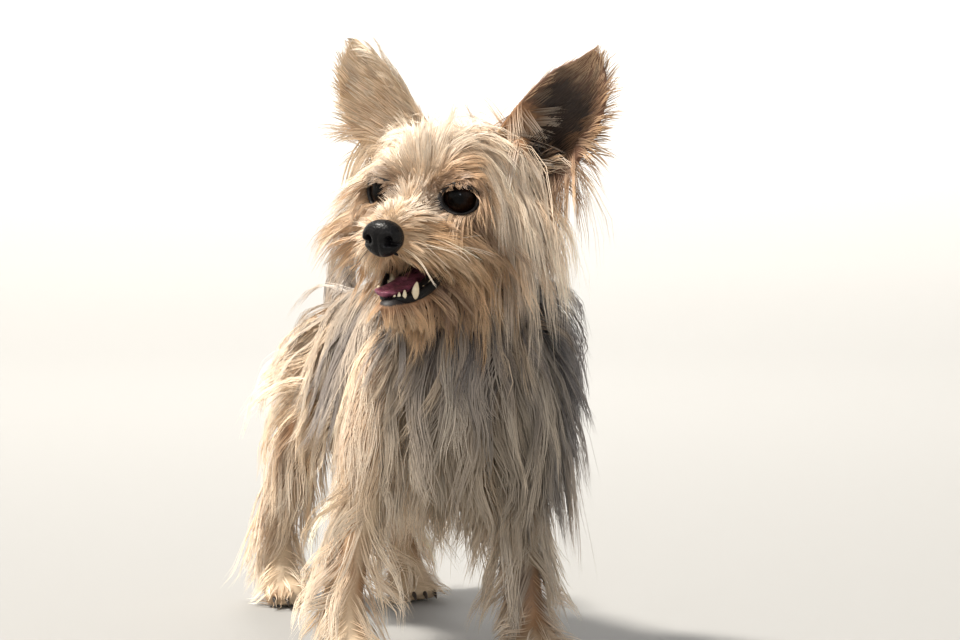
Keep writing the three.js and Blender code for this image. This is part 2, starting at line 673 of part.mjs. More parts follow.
// Ears: a fringe hanging from the outer edge, a short one up the inner edge, tufts across the opening
function earCoat(s) {
  const spots = [
    ...[0.24, 0.44, 0.62, 0.8].map((v) => [0.98, v, [0.3, 0.1, -0.9], 32 - 16 * v, 11]),
    [0.03, 0.45, [0.74, 0.1, 0.7], 22, 7],
    [0.1, 0.16, [0.75, -0.4, 0.1], 24, 8],
  ];
  return spots.map(([u, v, way, length, width]) => {
    const normal = earNormal(s, u, v);
    const flow = headWay(s * way[0], way[1], way[2]).normalize();
    const root = earPoint(s, u, v);
    const shape = { sink: 0, lift: 0, fall: 0.1, curl: about(0.1), low: 0, high: 0, over: [cranium] };
    const path = drape({ ...shape, root, normal, flow, length });
    path[0] = root.addScaledVector(flow, -3);
    return { path: path.map((p) => p.addScaledVector(normal, -1)), normal, width, thick: 2.2, shape: SHORT };
  });
}

// Legs: feathering that hangs down and back from every side
function legCoat(leg) {
  const spots = [];
  const s = leg.left ? 1 : -1;
  const rows = leg.front
    ? [[0.22, 5, 54, 24, 15], [0.4, 4, 50, 24, 14], [0.6, 4, 30, 20, 8]]
    : [[0.2, 5, 52, 25, 7], [0.38, 4, 48, 23, 7], [0.6, 4, 28, 19, 6]];
  rows.forEach(([share, count, length, width, high], r) => {
    for (const angle of spread(0, 360, count)) {
      const turned = angle + 36 * (r % 2) + about(4);
      const { normal } = leg.body.place({ share, angle: turned });
      if (r < 1 && normal.x * s < -0.35) continue;
      const flow = V(0.35 * normal.x, 0.35 * normal.y + 0.1, -1);
      spots.push({ share, angle: turned, flow, length: length * vary(0.08), width, thick: 4.5, high });
    }
  });
  return locksOn(leg.body, spots, [leg.body]);
}

// Tail: a plume that hangs from it on both sides and below
function tailCoat() {
  const rows = [[0.25, [-20, 200]], [0.48, [-60, 240]], [0.7, [10, 170]], [0.92, [-90]]];
  const spots = rows.flatMap(([share, angles]) => angles.map((angle) => ({
    share, angle, flow: V(0.25 * cos(degrees(angle)), 0.5, -0.6), length: 40 * vary(0.1),
    width: 17, thick: 4, high: 3, fall: 0.6,
  })));
  return locksOn(tailBody, spots, [tailBody]);
}

// Each sub-part: its bare form, how that grows, and the locks on it. Where two meet, the earlier one stays whole.
const parts = [
  { name: "eye_left", core: (g) => eyeSolid(1, g), color: BLACK, look: wet, head: true },
  { name: "eye_right", core: (g) => eyeSolid(-1, g), color: BLACK, look: wet, head: true },
  { name: "nose", core: noseSolid, color: BLACK, look: wet, head: true },
  { name: "torso", core: (g) => join([trunk.grown(g).solid(), tuft.solid(g)]), coat: trunkCoat, color: STEEL },
  { name: "head", core: headCore, coat: headCoat, color: GOLD, head: true },
  { name: "jaw", core: jawCore, coat: jawCoat, color: GOLD, head: true },
  { name: "tongue", core: (g) => tongueBody.grown(g).solid(), color: 0xb0606a, look: wet, head: true },
  { name: "neck", core: (g) => neck.grown(g).solid(), coat: neckCoat, color: CREAM },
  { name: "ear_left", core: (g) => earSolid(1, g), coat: () => earCoat(1), color: GOLD, head: true },
  { name: "ear_right", core: (g) => earSolid(-1, g), coat: () => earCoat(-1), color: GOLD, head: true },
  ...Object.entries(feet).map(([name, leg]) => ({
    name, core: (g) => legCore(leg, g), coat: () => legCoat(leg), color: CREAM,
  })),
  { name: "tail", core: (g) => tailBody.grown(g).solid(), coat: tailCoat, color: STEEL },
];

// The head and the jaw, hollowed by the mouth. Grown to cut the tongue, their hollow shrinks.
function headCore(grow = 0) {
  const whole = join([skull.grown(grow).solid(), lidSolid(1), lidSolid(-1)]);
  return less(whole, [almondSolid(1), almondSolid(-1), mouth.grown(-grow).solid()]);
}

function jawCore(grow = 0) {
  const bone = jawBone.grown(grow).solid();
  return join([less(bone, [mouth.grown(-grow).solid()]), ...toothSolids(grow)]);
}

function legCore(leg, grow = 0) {
  const whole = join([leg.body.grown(grow).solid(), ...toeSolids(leg)]);
  return grow > 0 ? whole : whole.subtract(belowFloor);
}

// Cores are cut clear of the cores before them, and locks of every other core and of earlier coats
const cores = parts.map((part) => part.core(0));
const cutters = parts.map((part) => part.core(GAP));
const locks = parts.map((part) => (part.coat ? part.coat() : []));
const coatCutters = locks.map((list) => (list.length ? join(coatSolids(list, GAP)) : null));
const finished = parts.map((part, i) => {
  const core = less(cores[i], cutters.slice(0, i));
  if (!locks[i].length) return largest(core);
  const others = cutters.filter((_, j) => j !== i);
  const earlier = coatCutters.slice(0, i).filter(Boolean);
  const coat = less(join(coatSolids(locks[i])), [...others, ...earlier]);
  return largest(join([core, coat]));
});

// Scene graph: the head's pieces hang in a group of their own, turned as the head is
const dog = new THREE.Group();
const head = new THREE.Group();
head.applyMatrix4(headMatrix);
dog.add(head);
const toHead = headMatrix.clone().invert();
parts.forEach((part, i) => {
  const { numProp, vertProperties, triVerts } = finished[i].getMesh();
  const count = vertProperties.length / numProp;
  const position = new Float32Array(count * 3);
  for (let k = 0; k < count; k++) position.set(vertProperties.subarray(k * numProp, k * numProp + 3), k * 3);
  const geometry = new THREE.BufferGeometry();
  geometry.setAttribute("position", new THREE.BufferAttribute(position, 3));
  geometry.setIndex(new THREE.BufferAttribute(new Uint32Array(triVerts), 1));
  if (part.head) geometry.applyMatrix4(toHead);
  geometry.computeVertexNormals();
  const mesh = new THREE.Mesh(geometry, (part.look ?? hair)(part.color));
  mesh.name = part.name;
  (part.head ? head : dog).add(mesh);
});

// The origin is the middle of the footprint, on the floor
dog.updateMatrixWorld(true);
const box = new THREE.Box3().setFromObject(dog, true);
dog.position.set(-(box.min.x + box.max.x) / 2, -(box.min.y + box.max.y) / 2, -box.min.z);

export default dog;
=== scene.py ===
import math

import bpy
import numpy as np
from mathutils import Matrix, Vector
from mathutils.kdtree import KDTree


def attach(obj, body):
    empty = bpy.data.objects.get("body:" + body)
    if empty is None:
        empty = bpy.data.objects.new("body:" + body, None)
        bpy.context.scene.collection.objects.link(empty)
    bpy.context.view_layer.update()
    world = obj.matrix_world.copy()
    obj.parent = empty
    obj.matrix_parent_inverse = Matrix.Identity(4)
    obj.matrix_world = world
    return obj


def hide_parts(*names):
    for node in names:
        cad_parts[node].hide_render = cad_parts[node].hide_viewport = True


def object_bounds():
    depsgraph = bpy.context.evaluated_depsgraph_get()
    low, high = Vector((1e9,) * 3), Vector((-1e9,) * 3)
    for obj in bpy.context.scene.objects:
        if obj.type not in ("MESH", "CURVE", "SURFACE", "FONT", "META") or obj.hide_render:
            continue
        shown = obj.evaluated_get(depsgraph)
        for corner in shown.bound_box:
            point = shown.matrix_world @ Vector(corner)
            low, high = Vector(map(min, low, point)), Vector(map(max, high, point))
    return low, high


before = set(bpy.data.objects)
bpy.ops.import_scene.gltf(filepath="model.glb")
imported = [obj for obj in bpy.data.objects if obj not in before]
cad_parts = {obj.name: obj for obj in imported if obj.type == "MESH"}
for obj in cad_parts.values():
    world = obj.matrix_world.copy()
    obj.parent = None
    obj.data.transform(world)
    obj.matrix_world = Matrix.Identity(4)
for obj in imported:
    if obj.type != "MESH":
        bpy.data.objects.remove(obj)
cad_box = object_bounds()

# Measures and view. The dog stands on four feet and faces -Y, its left side is +X. Places are in
# millimetres in the body's own frame, whose origin is found again from the left eye. The camera
# stands at the photograph's place, a little above the back, and looks slightly down.
MM = 0.001
HEAD_CENTRE = Vector((-2.1, -116.5, 227.9))
HEAD_TURN, HEAD_NOD, HEAD_TILT = (math.radians(a) for a in (-44.6, 8.7, 4.5))
EYE = (18.2, -29.5, -4.0)
tilt_axis = Vector((0.309, 0.951, 0.0)).normalized()
head_turn = (
    Matrix.Rotation(HEAD_TILT, 4, tilt_axis)
    @ Matrix.Rotation(HEAD_TURN, 4, "Z")
    @ Matrix.Rotation(HEAD_NOD, 4, "X")
)
head_frame = Matrix.Translation(HEAD_CENTRE) @ head_turn
eye_points = [v.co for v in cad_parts["eye_left"].data.vertices]
eye_middle = sum(eye_points, Vector()) / len(eye_points)
shift = eye_middle / MM - head_frame @ Vector(EYE)
head_frame = Matrix.Translation(shift) @ head_frame


def body_at(x, y, z):
    return (Vector((x, y, z)) + shift) * MM


def head_at(x, y, z):
    return (head_frame @ Vector((x, y, z))) * MM


LOOK_DOWN = math.radians(2.92)
LENS, SENSOR = 88.1, 36
STAND_BACK, STAND_ASIDE, STAND_HIGH = 1093, 15.3, 217.7
way = Vector((0.30902, 0.95106, 0.0))
aside = Vector((0.95106, -0.30902, 0.0))
camera_data = bpy.data.cameras.new("view")
camera_data.sensor_width = SENSOR
camera_data.lens = LENS
camera = bpy.data.objects.new("view", camera_data)
bpy.context.scene.collection.objects.link(camera)
camera.location = body_at(0, -95, STAND_HIGH) + (aside * STAND_ASIDE - way * STAND_BACK) * MM
gaze = way * math.cos(LOOK_DOWN) - Vector((0, 0, math.sin(LOOK_DOWN)))
camera.rotation_euler = gaze.to_track_quat("-Z", "Y").to_euler()
bpy.context.scene.camera = camera


# Skin. The hide under the coat is one closed surface, built up from masses of muscle, bone and fat
# like clay on an armature, then fused and smoothed. Lids, mouth and ear cups belong to it.
def deselect():
    if bpy.context.mode != "OBJECT":
        bpy.ops.object.mode_set(mode="OBJECT")
    bpy.ops.object.select_all(action="DESELECT")


def pick(piece):
    deselect()
    piece.select_set(True)
    bpy.context.view_layer.objects.active = piece


def turn_out(piece):
    """Turns the faces of a closed piece outwards."""
    pick(piece)
    bpy.ops.object.mode_set(mode="EDIT")
    bpy.ops.mesh.select_all(action="SELECT")
    bpy.ops.mesh.normals_make_consistent(inside=False)
    bpy.ops.object.mode_set(mode="OBJECT")


def new_piece(name, corners, faces):
    mesh = bpy.data.meshes.new(name)
    mesh.from_pydata(corners, [], faces)
    piece = bpy.data.objects.new(name, mesh)
    bpy.context.scene.collection.objects.link(piece)
    return piece


def finish_modifiers(piece):
    pick(piece)
    for modifier in list(piece.modifiers):
        bpy.ops.object.modifier_apply(modifier=modifier.name)


masses = []
lumps = []


def add_mass(part, at, radii, turn=None):
    """A ball of flesh, its radii in millimetres, kept in a list so that the coat can lie over it."""
    turn = turn or Matrix.Identity(4)
    size = [r * MM for r in radii]
    bpy.ops.mesh.primitive_uv_sphere_add(
        segments=20, ring_count=12, radius=1, location=at, rotation=turn.to_euler(), scale=size
    )
    lumps.append(bpy.context.object)
    masses.append((part, np.array(at), np.array(size), np.array(turn.to_3x3())))


def head_mass(part, x, y, z, *radii):
    """A ball in the head's own frame, with its mirror image where it lies off the middle."""
    for side in (1, -1) if x else (1,):
        add_mass(part, head_at(side * x, y, z), radii, head_turn)


def along(stations, count):
    """Stations (x, y, z, rx, ry, rz) joined by a smooth curve through all of them."""
    table = np.array(stations, float)
    ends = np.vstack([2 * table[0] - table[1], table, 2 * table[-1] - table[-2]])
    made = []
    for s in np.linspace(0, len(table) - 1.001, count):
        i = int(s)
        t = s - i
        a, b, c, d = ends[i : i + 4]
        made.append(0.5 * (2 * b + (c - a) * t + (2 * a - 5 * b + 4 * c - d) * t**2
                           + (3 * b - a - 3 * c + d) * t**3))
    return made


def gather(name):
    """Joins the balls added so far into one object, its place in its mesh."""
    deselect()
    for lump in lumps:
        lump.select_set(True)
    piece = lumps[0]
    bpy.context.view_layer.objects.active = piece
    bpy.ops.object.join()
    bpy.ops.object.transform_apply(location=True, rotation=True, scale=True)
    piece.name = name
    lumps.clear()
    return piece


def fuse(piece, voxel, smooth, factor=0.5):
    remesh = piece.modifiers.new("fuse", "REMESH")
    remesh.mode = "VOXEL"
    remesh.voxel_size = voxel * MM
    relax = piece.modifiers.new("relax", "SMOOTH")
    relax.factor = factor
    relax.iterations = smooth
    finish_modifiers(piece)


trunk_stations = [
    (10, -114, 138, 20, 12, 19), (10, -103, 140, 32, 22, 35), (10, -76, 140, 38, 30, 42),
    (6, -32, 141, 33, 30, 41), (2, 14, 140, 28, 30, 36), (0, 52, 138, 24, 28, 31),
    (0, 79, 136, 21, 20, 26), (0, 92, 135, 15, 12, 19),
]
neck_stations = [
    (8, -78, 150, 27, 28, 26), (5, -92, 176, 26, 27, 24), (0, -102, 200, 24, 25, 22),
    (-3, -106, 220, 21, 22, 18),
]
tail_stations = [
    (0, 85, 154, 9, 9, 8), (1, 101, 165, 7, 7, 7), (4, 116, 177, 5.5, 6, 5.5),
    (8, 129, 187, 4, 5, 4), (10, 135, 191, 2.5, 3, 2.5),
]
legs = {
    "leg_front_left": dict(front=True, top=36, x=43, y=-90),
    "leg_front_right": dict(front=True, top=-24, x=-47, y=-93),
    "leg_hind_left": dict(front=False, top=22, x=35, y=89),
    "leg_hind_right": dict(front=False, top=-22, x=-34, y=94),
}


def leg_stations(front, top, x, y):
    def between(share):
        return top + (x - top) * share

    paw = [(x, y + 1, 11, 11, 13, 9), (x, y - 5, 8, 12.5, 13, 7.5)]
    if front:
        return [
            (between(0), y + 15, 138, 12, 18, 16), (between(0.25), y + 15, 116, 13, 18, 15),
            (between(0.45), y + 15, 94, 11, 14, 14), (between(0.7), y + 11, 66, 9, 10, 12),
            (between(0.95), y + 8, 36, 8, 9, 12), (x, y + 5, 20, 9, 10, 9), *paw,
        ]
    return [
        (between(0), y - 24, 138, 10, 22, 18), (between(0.3), y - 22, 116, 12, 24, 18),
        (between(0.6), y - 20, 92, 11, 19, 16), (between(0.8), y - 4, 68, 9.5, 14, 14),
        (x, y + 13, 46, 8, 9, 12), (x, y + 10, 24, 8, 8.5, 11), *paw,
    ]


for part, stations, count in (
    ("torso", trunk_stations, 26), ("neck", neck_stations, 9), ("tail", tail_stations, 12),
    *((name, leg_stations(**leg), 20) for name, leg in legs.items()),
):
    for x, y, z, *radii in along(stations, count):
        add_mass(part, body_at(x, y, z), radii)
add_mass("torso", body_at(33, -74, 150), (25, 27, 30))
TOES = (-1.5, -0.5, 0.5, 1.5)
TOE_GAP, TOE_AHEAD, TOE_ARC = 6.2, 14.0, 1.6


def toe_at(leg, n):
    """Middle of a toe, seen from above. The four stand in an arc at the front of the paw."""
    return leg["x"] + TOE_GAP * n, leg["y"] - TOE_AHEAD + TOE_ARC * n * n


for name, leg in legs.items():
    for n in TOES:
        add_mass(name, body_at(*toe_at(leg, n), 5.8), (3.9, 7.2, 5.6))
body = gather("body")
fuse(body, voxel=2.0, smooth=12)

# The floor flattens the soles
SOLE_GAP = 0.3
floor_z = body_at(0, 0, 0).z
for vertex in body.data.vertices:
    vertex.co.z = max(vertex.co.z, floor_z + SOLE_GAP * MM)

for row in (
    (0, 3, -2, 31, 33, 25), (0, -17, 1, 26, 18, 20), (12, -27, 4, 10, 9, 8), (21, -17, -10, 13, 17, 14),
    (27, 9, 8, 10, 9, 12), (0, -34, -11, 14, 12, 12), (0, -47, -15.5, 12, 16, 9),
    (0, -60, -17.5, 9.5, 8, 8.5), (6.5, -57, -22.5, 6, 9, 6), (10.5, -46, -22, 7, 11, 8),
    (13.5, -36, -21, 8, 10, 10), (0, -52, -12, 7, 15, 5),
):
    head_mass("head", *row)
for y, z, wide, high in (
    (-58, -50, 6.5, 4.2), (-52, -50, 8.6, 4.8), (-44, -48, 10.8, 6), (-34, -44.5, 13.5, 7),
    (-24, -40, 16.5, 8), (-14, -34, 19, 11), (-3, -29, 20, 13),
):
    head_mass("jaw", 0, y, z, wide, 9, high)
head_mass("jaw", 0, 2, -26, 19, 18, 16)
for x, y, z, *radii in along(neck_stations[1:], 6):
    add_mass("neck", body_at(x, y, z), [0.94 * r for r in radii])
head = gather("head_skin")
fuse(head, voxel=1.0, smooth=4)

# Ears: upright cups between an inner and an outer edge that meet in a rounded tip
EAR_INNER, EAR_OUTER, EAR_TIP = Vector((17, 6, 21)), Vector((38, 11, -6)), Vector((62, 13, 61))
EAR_BULGE, EAR_CUP, EAR_THICK = 13, 12, 2.4
EAR_COLUMNS, EAR_ROWS = 24, 32


def ear_point(side, u, v):
    arch = max(0.0, math.sin(math.pi * v))
    inner = EAR_INNER.lerp(EAR_TIP + Vector((-4.5, 0, 0.6)), v) + Vector((-1.2, 0, 2)) * arch
    outer = EAR_OUTER.lerp(EAR_TIP + Vector((3.5, 0, -2.5)), v)
    outer += Vector((1, 0.1, -0.12)) * EAR_BULGE * arch**0.8
    p = inner.lerp(outer, u)
    p.y += EAR_CUP * max(0, 1 - v) ** 0.7 * 4 * u * (1 - u) - 3 * arch
    p.z -= 5 * (2 * u - 1) ** 2 * max(0, v - 0.7) / 0.3
    return Vector((side * p.x, p.y, p.z))


def ear_sheet(side):
    """The cup as a closed sheet, thinner towards the tip."""
    front, back = [], []
    for i in range(EAR_ROWS + 1):
        for j in range(EAR_COLUMNS + 1):
            u, v = j / EAR_COLUMNS, i / EAR_ROWS
            across = ear_point(side, min(u + 0.02, 1), v) - ear_point(side, max(u - 0.02, 0), v)
            up = ear_point(side, u, min(v + 0.02, 0.98)) - ear_point(side, u, min(v, 0.96) - 0.02)
            normal = across.cross(up).normalized() * side
            half = 0.5 * EAR_THICK * (1 - 0.35 * v)
            p = ear_point(side, u, v)
            front.append(head_at(*(p + normal * half)))
            back.append(head_at(*(p - normal * half)))
    row = EAR_COLUMNS + 1
    size = len(front)
    faces = []
    for i in range(EAR_ROWS):
        for j in range(EAR_COLUMNS):
            a = i * row + j
            faces.append((a, a + 1, a + row + 1, a + row))
            faces.append((size + a, size + a + row, size + a + row + 1, size + a + 1))
    ring = [*range(row), *(i * row + EAR_COLUMNS for i in range(1, EAR_ROWS + 1))]
    ring += [EAR_ROWS * row + j for j in range(EAR_COLUMNS - 1, -1, -1)]
    ring += [i * row for i in range(EAR_ROWS - 1, 0, -1)]
    for a, b in zip(ring, ring[1:] + ring[:1]):
        faces.append((b, a, size + a, size + b))
    return new_piece("ear", front + back, faces)


def combine(piece, tool, operation):
    """Joins or cuts a closed piece with another, which is then removed."""
    change = piece.modifiers.new("combine", "BOOLEAN")
    change.operation = operation
    change.solver = "MANIFOLD"
    change.object = tool
    finish_modifiers(piece)
    bpy.data.objects.remove(tool)


def new_ball(name, segments, rings, radius=1.0, **where):
    deselect()
    bpy.ops.mesh.primitive_uv_sphere_add(segments=segments, ring_count=rings, radius=radius, **where)
    ball = bpy.context.object
    ball.name = name
    return ball


def head_ball(name, x, y, z, rx, ry, rz):
    ball = new_ball(
        name, 40, 26, location=head_at(x, y, z), rotation=head_turn.to_euler(),
        scale=(rx * MM, ry * MM, rz * MM),
    )
    bpy.ops.object.transform_apply(location=True, rotation=True, scale=True)
    return ball


EYE_SIZE = 8.6
LID_THICK, EYE_PLAY = 2.1, 0.2
for side in (1, -1):
    x, y, z = side * EYE[0], EYE[1], EYE[2]
    ear = ear_sheet(side)
    turn_out(ear)
    combine(head, ear, "UNION")
    combine(head, head_ball("lid", x, y, z, *[EYE_SIZE + LID_THICK] * 3), "UNION")
for side in (1, -1):
    x, y, z = side * EYE[0], EYE[1], EYE[2]
    combine(head, head_ball("opening", x + side * 2.6, y - 9, z - 0.2, 8.4, 9, 6.2), "DIFFERENCE")
    combine(head, head_ball("socket", x, y, z, *[EYE_SIZE + EYE_PLAY] * 3), "DIFFERENCE")
mouth_stations = [
    (0, -68, -39.5, 7, 5, 6.5), (0, -56, -38.5, 9.2, 6, 8), (0, -44, -36, 11, 7, 7),
    (0, -30, -33.5, 12, 7, 5), (0, -22, -31.5, 9, 6, 3.2),
]
for x, y, z, *radii in along(mouth_stations, 14):
    add_mass("mouth", head_at(x, y, z), radii, head_turn)
hollow = gather("hollow")
fuse(hollow, voxel=1.0, smooth=2)
combine(head, hollow, "DIFFERENCE")
fuse(head, voxel=0.85, smooth=3, factor=0.35)
combine(head, body, "UNION")
skin = head
skin.name = "skin"
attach(skin, "root")
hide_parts(*[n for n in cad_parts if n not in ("eye_left", "eye_right", "nose", "tongue")])

# Surface of the skin as arrays: corners, normals and the flat layout that colours are kept on
pick(skin)
skin.data.uv_layers.new(name="OFBake")
bpy.ops.object.mode_set(mode="EDIT")
bpy.ops.mesh.select_all(action="SELECT")
bpy.ops.mesh.quads_convert_to_tris()
bpy.ops.uv.smart_project(angle_limit=math.radians(66), island_margin=0.004)
bpy.ops.object.mode_set(mode="OBJECT")
bpy.ops.object.shade_smooth()


def column(source, key, width, kind=np.float32):
    values = np.empty(len(source) * width, kind)
    source.foreach_get(key, values)
    return values.reshape(-1, width) if width > 1 else values


corner_at = column(skin.data.vertices, "co", 3).astype(float)
corner_normal = column(skin.data.vertices, "normal", 3).astype(float)
flat = column(skin.data.uv_layers["OFBake"].data, "uv", 2).astype(float)
face_corners = column(skin.data.loops, "vertex_index", 1, np.int32).reshape(-1, 3)
flat = flat.reshape(-1, 3, 2)
face_at = corner_at[face_corners]
face_middle = face_at.mean(1)
face_edges = face_at[:, 1:] - face_at[:, :1]
face_area = np.linalg.norm(np.cross(face_edges[:, 0], face_edges[:, 1]), axis=1)

HEAD_BACK = np.array(head_frame.inverted().to_3x3())
HEAD_OUT = np.array(head_frame.to_3x3())
HEAD_ORIGIN = np.array(head_frame.translation)
SHIFT = np.array(shift)


def unit(a):
    return a / np.maximum(np.linalg.norm(a, axis=-1, keepdims=True), 1e-9)


def in_head(points):
    return (points / MM - HEAD_ORIGIN) @ HEAD_BACK.T


def in_body(points):
    return points / MM - SHIFT


def smooth_step(low, high, value):
    t = np.clip((value - low) / (high - low), 0, 1)
    return t * t * (3 - 2 * t)


# Which part of the dog each face of the skin belongs to
for side, name in ((1, "ear_left"), (-1, "ear_right")):
    for v in (0.12, 0.3, 0.5, 0.68, 0.84, 0.97):
        wide = (ear_point(side, 1, v) - ear_point(side, 0, v)).length / 2
        middle = ear_point(side, 0.5, v)
        masses.append((name, np.array(head_at(*middle)), np.full(3, max(wide, 7) * MM), np.eye(3)))
nearest = np.full(len(face_middle), np.inf)
face_part = np.empty(len(face_middle), "U16")
for part, at, size, turn in masses:
    if part == "mouth":
        continue
    away = np.linalg.norm((face_middle - at) @ turn / size, axis=1)
    nearer = away < nearest
    nearest[nearer] = away[nearer]
    face_part[nearer] = part


def depth_in(part, points):
    """How far out of the nearest ball of a part each point lies: 1 on the ball, less inside it."""
    found = np.full(len(points), np.inf)
    for name, at, size, turn in masses:
        if name == part:
            found = np.minimum(found, np.linalg.norm((points - at) @ turn / size, axis=1))
    return found


# Hair tones, from the root to the tip
def paint(code):
    part = [int(code[i : i + 2], 16) / 255 for i in (0, 2, 4)]
    return np.array([c / 12.92 if c <= 0.04045 else ((c + 0.055) / 1.055) ** 2.4 for c in part])


PALE, CREAM, GOLD, TAN = (paint(code) for code in ("FAEBD7", "ECD2B1", "D4AC80", "B5875E"))
RUST, DARK, STEEL, SLATE = (paint(code) for code in ("86604A", "3A281E", "7F7877", "4A484D"))
SILVER = paint("D2C5B9")


def patches(points, scale, seed=0):
    """Slow random change from place to place, between -1 and 1."""
    p = in_body(points) / scale
    total = np.zeros(len(p))
    for k, (a, b, c) in enumerate(((1, 0.7, -0.4), (-0.5, 1, 0.8), (0.9, -0.8, 1), (1.7, 1.1, -1.3))):
        total += np.sin(p @ np.array((a, b, c)) * 2.1 + 1.7 * k + seed)
    return total / 4


def mix(a, b, share):
    return a + (b - a) * np.asarray(share)[..., None]


ear_grid = [(u, v) for v in np.linspace(0, 1, 25) for u in np.linspace(0, 1, 17)]
ear_finders = {}
for side in (1, -1):
    finder = KDTree(len(ear_grid))
    for i, (u, v) in enumerate(ear_grid):
        finder.insert(ear_point(side, u, v), i)
    finder.balance()
    ear_finders[side] = finder


def ear_place(side, points):
    """Where points lie on an ear: from the inner to the outer edge, from base to tip, and 1 in its cup."""
    found = []
    for p in in_head(points):
        at, i, _ = ear_finders[side].find(Vector(p))
        found.append((*ear_grid[i], 1.0 if p[1] < at.y + 0.15 else 0.0))
    return np.array(found).T


